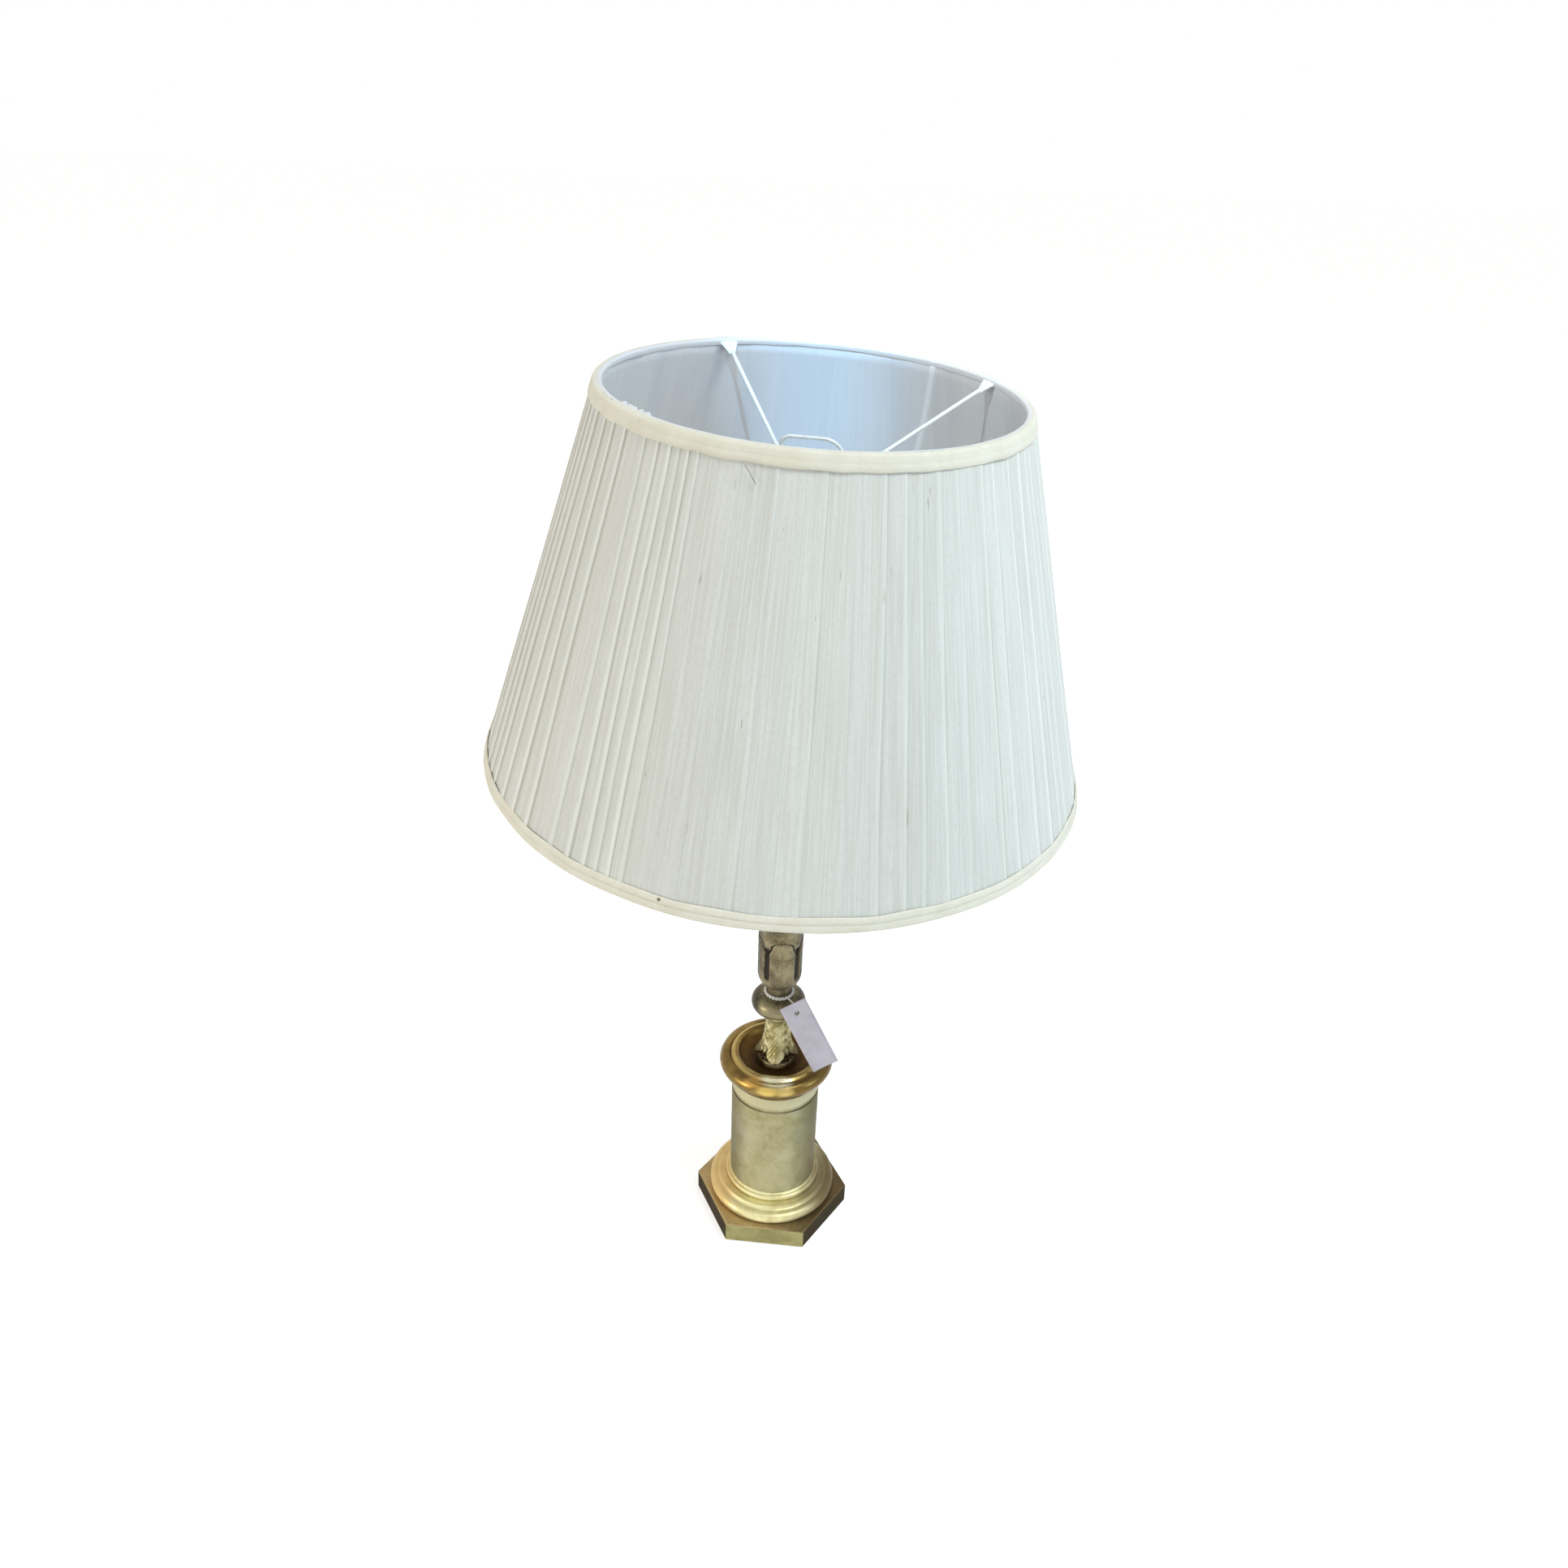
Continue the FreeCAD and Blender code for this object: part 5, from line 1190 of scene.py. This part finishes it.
def felt_ring():
    """Felt cut to the plinth's hexagon, its edges rounded and a little uneven."""
    rng = np.random.default_rng(3)
    points = node_points("felt_pad")
    low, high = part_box("felt_pad")
    radius = np.hypot(points[:, 0], points[:, 1])
    outer, inner = radius.max(), radius[radius < radius.max() - 5 * MM].max()
    angles = full_turn(6 * 24)
    shape = math.cos(math.pi / 6) / np.cos(angles % (math.pi / 3) - math.pi / 6)
    fuzz = rng.normal(0, FELT_FUZZ, len(angles))
    outline = [(outer, 0.35), (outer, 0.8), (outer - FELT_ROUND, 1.0), (inner + FELT_ROUND, 1.0),
               (inner, 0.8), (inner, 0.35), (inner + FELT_ROUND, 0.0), (outer - FELT_ROUND, 0.0)]
    rings = [ring_points(angles, r * shape + fuzz, low.z + (high.z - low.z) * h) for r, h in outline]
    felt = new_object("felt", np.array(rings), grid_faces(len(rings), len(angles), wrap_rows=True))
    dress(felt, "felt", "lamp", "felt_pad")


def contact_spring(side):
    """Small coil spring under a contact plunger."""
    low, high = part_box("contact_springs")
    outer = (high.x - low.x) / 2
    centre = (high.y - low.y) / 2 - outer
    share = np.linspace(0, 1, 150)
    height = low.z + SPRING_WIRE + (high.z - low.z - 2 * SPRING_WIRE) * share
    path = ring_points(2 * math.pi * SPRING_TURNS * share, outer - 0.25 * MM, height)
    return tube_along(f"spring_{side}", path + np.array([0, side * centre, 0]), SPRING_WIRE, 8)


def contact_springs():
    """Both coils, joined and given a mesh of their own."""
    springs = join("contact_coils", [contact_spring(-1), contact_spring(1)])
    dress(springs, "zinc_steel", "lamp", "contact_springs")
    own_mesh(springs)


# ---------------------------------------------------------------- stage, lights, camera


FLOOR_HALF = 30.0
FLOOR_DROP = 0.2 * MM        # below the lamp's underside
FLOOR_COLOUR, FLOOR_GLOW = (0.86, 0.86, 0.86, 1), (0.58, 0.58, 0.58, 1)


def make_floor():
    low = cad_box[0].z - FLOOR_DROP
    corners = [(x * FLOOR_HALF, y * FLOOR_HALF, low) for x, y in ((-1, -1), (1, -1), (1, 1), (-1, 1))]
    floor = new_object("floor", corners, [(0, 1, 2, 3)])
    material = bpy.data.materials.new("pale_floor")
    tree = Nodes(material, "OutputMaterial")
    matt = tree.add("BsdfDiffuse", {"Color": FLOOR_COLOUR}).outputs[0]
    glow = tree.add("Emission", {"Color": FLOOR_GLOW, "Strength": tree.seen()}).outputs[0]
    tree.put(tree.output.inputs[0], tree.add("AddShader", {0: matt, 1: glow}).outputs[0])
    floor.data.materials.append(material)


WORLD_LEFT = (0.57, 0.53, 0.455, 1)
WORLD_RIGHT = (0.40, 0.46, 0.50, 1)


def make_world():
    """Soft light that is warmer from the left and cooler from the right; what is seen of it is white."""
    world = bpy.data.worlds.new("studio")
    bpy.context.scene.world = world
    tree = Nodes(world, "OutputWorld")
    sideways = tree.parts(tree.add("TexCoord").outputs["Generated"])[0]
    share = tree.add("MapRange", {"Value": sideways, "From Min": -0.8, "From Max": 0.8}).outputs[0]
    light = tree.add("Background", {"Color": tree.mix(share, WORLD_LEFT, WORLD_RIGHT)}).outputs[0]
    white = tree.add("Background", {"Color": (1, 1, 1, 1)}).outputs[0]
    tree.put(tree.output.inputs[0], tree.add("MixShader", {0: tree.seen(), 1: light, 2: white}).outputs[0])


# name, place, target, size, watts, colour
AREA_LIGHTS = (("window", (0.95, -0.65, 2.2), (0, 0, 0.45), 0.7, 25, (0.88, 0.97, 1.0)),
               ("side_window", (1.9, -0.5, 0.95), (0.1, 0, 0.55), 0.8, 7.5, (0.72, 0.90, 1.0)),
               ("room", (-1.75, -1.05, 0.6), (0, 0, 0.4), 0.7, 12, (1.0, 0.96, 0.86)))
# name, place, target, degrees, watts, colour
SPOT_LIGHTS = (("sky", (0.02, -0.95, 1.62), (0.004, 0.125, 0.618), 6.0, 140, (0.38, 0.70, 1.0)),
               ("bright_wall", (-0.45, -0.9, 1.6), (0.095, 0.075, 0.63), 8, 34, (0.86, 0.97, 1.0)))


def add_light(kind, name, place, target, watts, colour, **settings):
    data = bpy.data.lights.new(name, kind)
    for key, value in dict(settings, energy=watts, color=colour).items():
        setattr(data, key, value)
    made = bpy.data.objects.new(name, data)
    made.location = place
    made.rotation_mode = "QUATERNION"
    made.rotation_quaternion = (Vector(target) - Vector(place)).to_track_quat("-Z", "Y")
    bpy.context.scene.collection.objects.link(made)


def make_lights():
    for name, place, target, size, watts, colour in AREA_LIGHTS:
        add_light("AREA", name, place, target, watts, colour, shape="DISK", size=size)
    for name, place, target, degrees, watts, colour in SPOT_LIGHTS:
        add_light("SPOT", name, place, target, watts, colour, spot_size=math.radians(degrees),
                  spot_blend=1.0, shadow_soft_size=0.03)


def make_camera():
    data = bpy.data.cameras.new("camera")
    data.lens = CAMERA_LENS
    data.sensor_width = 36.0
    data.clip_start = 0.01
    data.clip_end = 200.0
    camera = bpy.data.objects.new("camera", data)
    turn = Matrix.Rotation(math.radians(CAMERA_YAW), 4, "Z")
    turn = turn @ Matrix.Rotation(math.radians(90 - CAMERA_DOWN), 4, "X")
    turn = turn @ Matrix.Rotation(math.radians(CAMERA_ROLL), 4, "Z")
    camera.matrix_world = Matrix.Translation(CAMERA_PLACE) @ turn
    bpy.context.scene.collection.objects.link(camera)
    bpy.context.scene.camera = camera


# ---------------------------------------------------------------- put it together

bpy.context.scene.view_settings.view_transform = "Standard"

dress_cad_nodes()
pleated_cover()
puckered_lining()
trim("top_trim", "top_binding", 1, 21)
trim("bottom_trim", "bottom_binding", -1, 22)
loose_thread()
arm_tapes()
leaf_vase()
fluted_stem()
waist_string()
string_link()
paper_tag()
felt_ring()
contact_springs()

make_floor()
make_world()
make_lights()
make_camera()
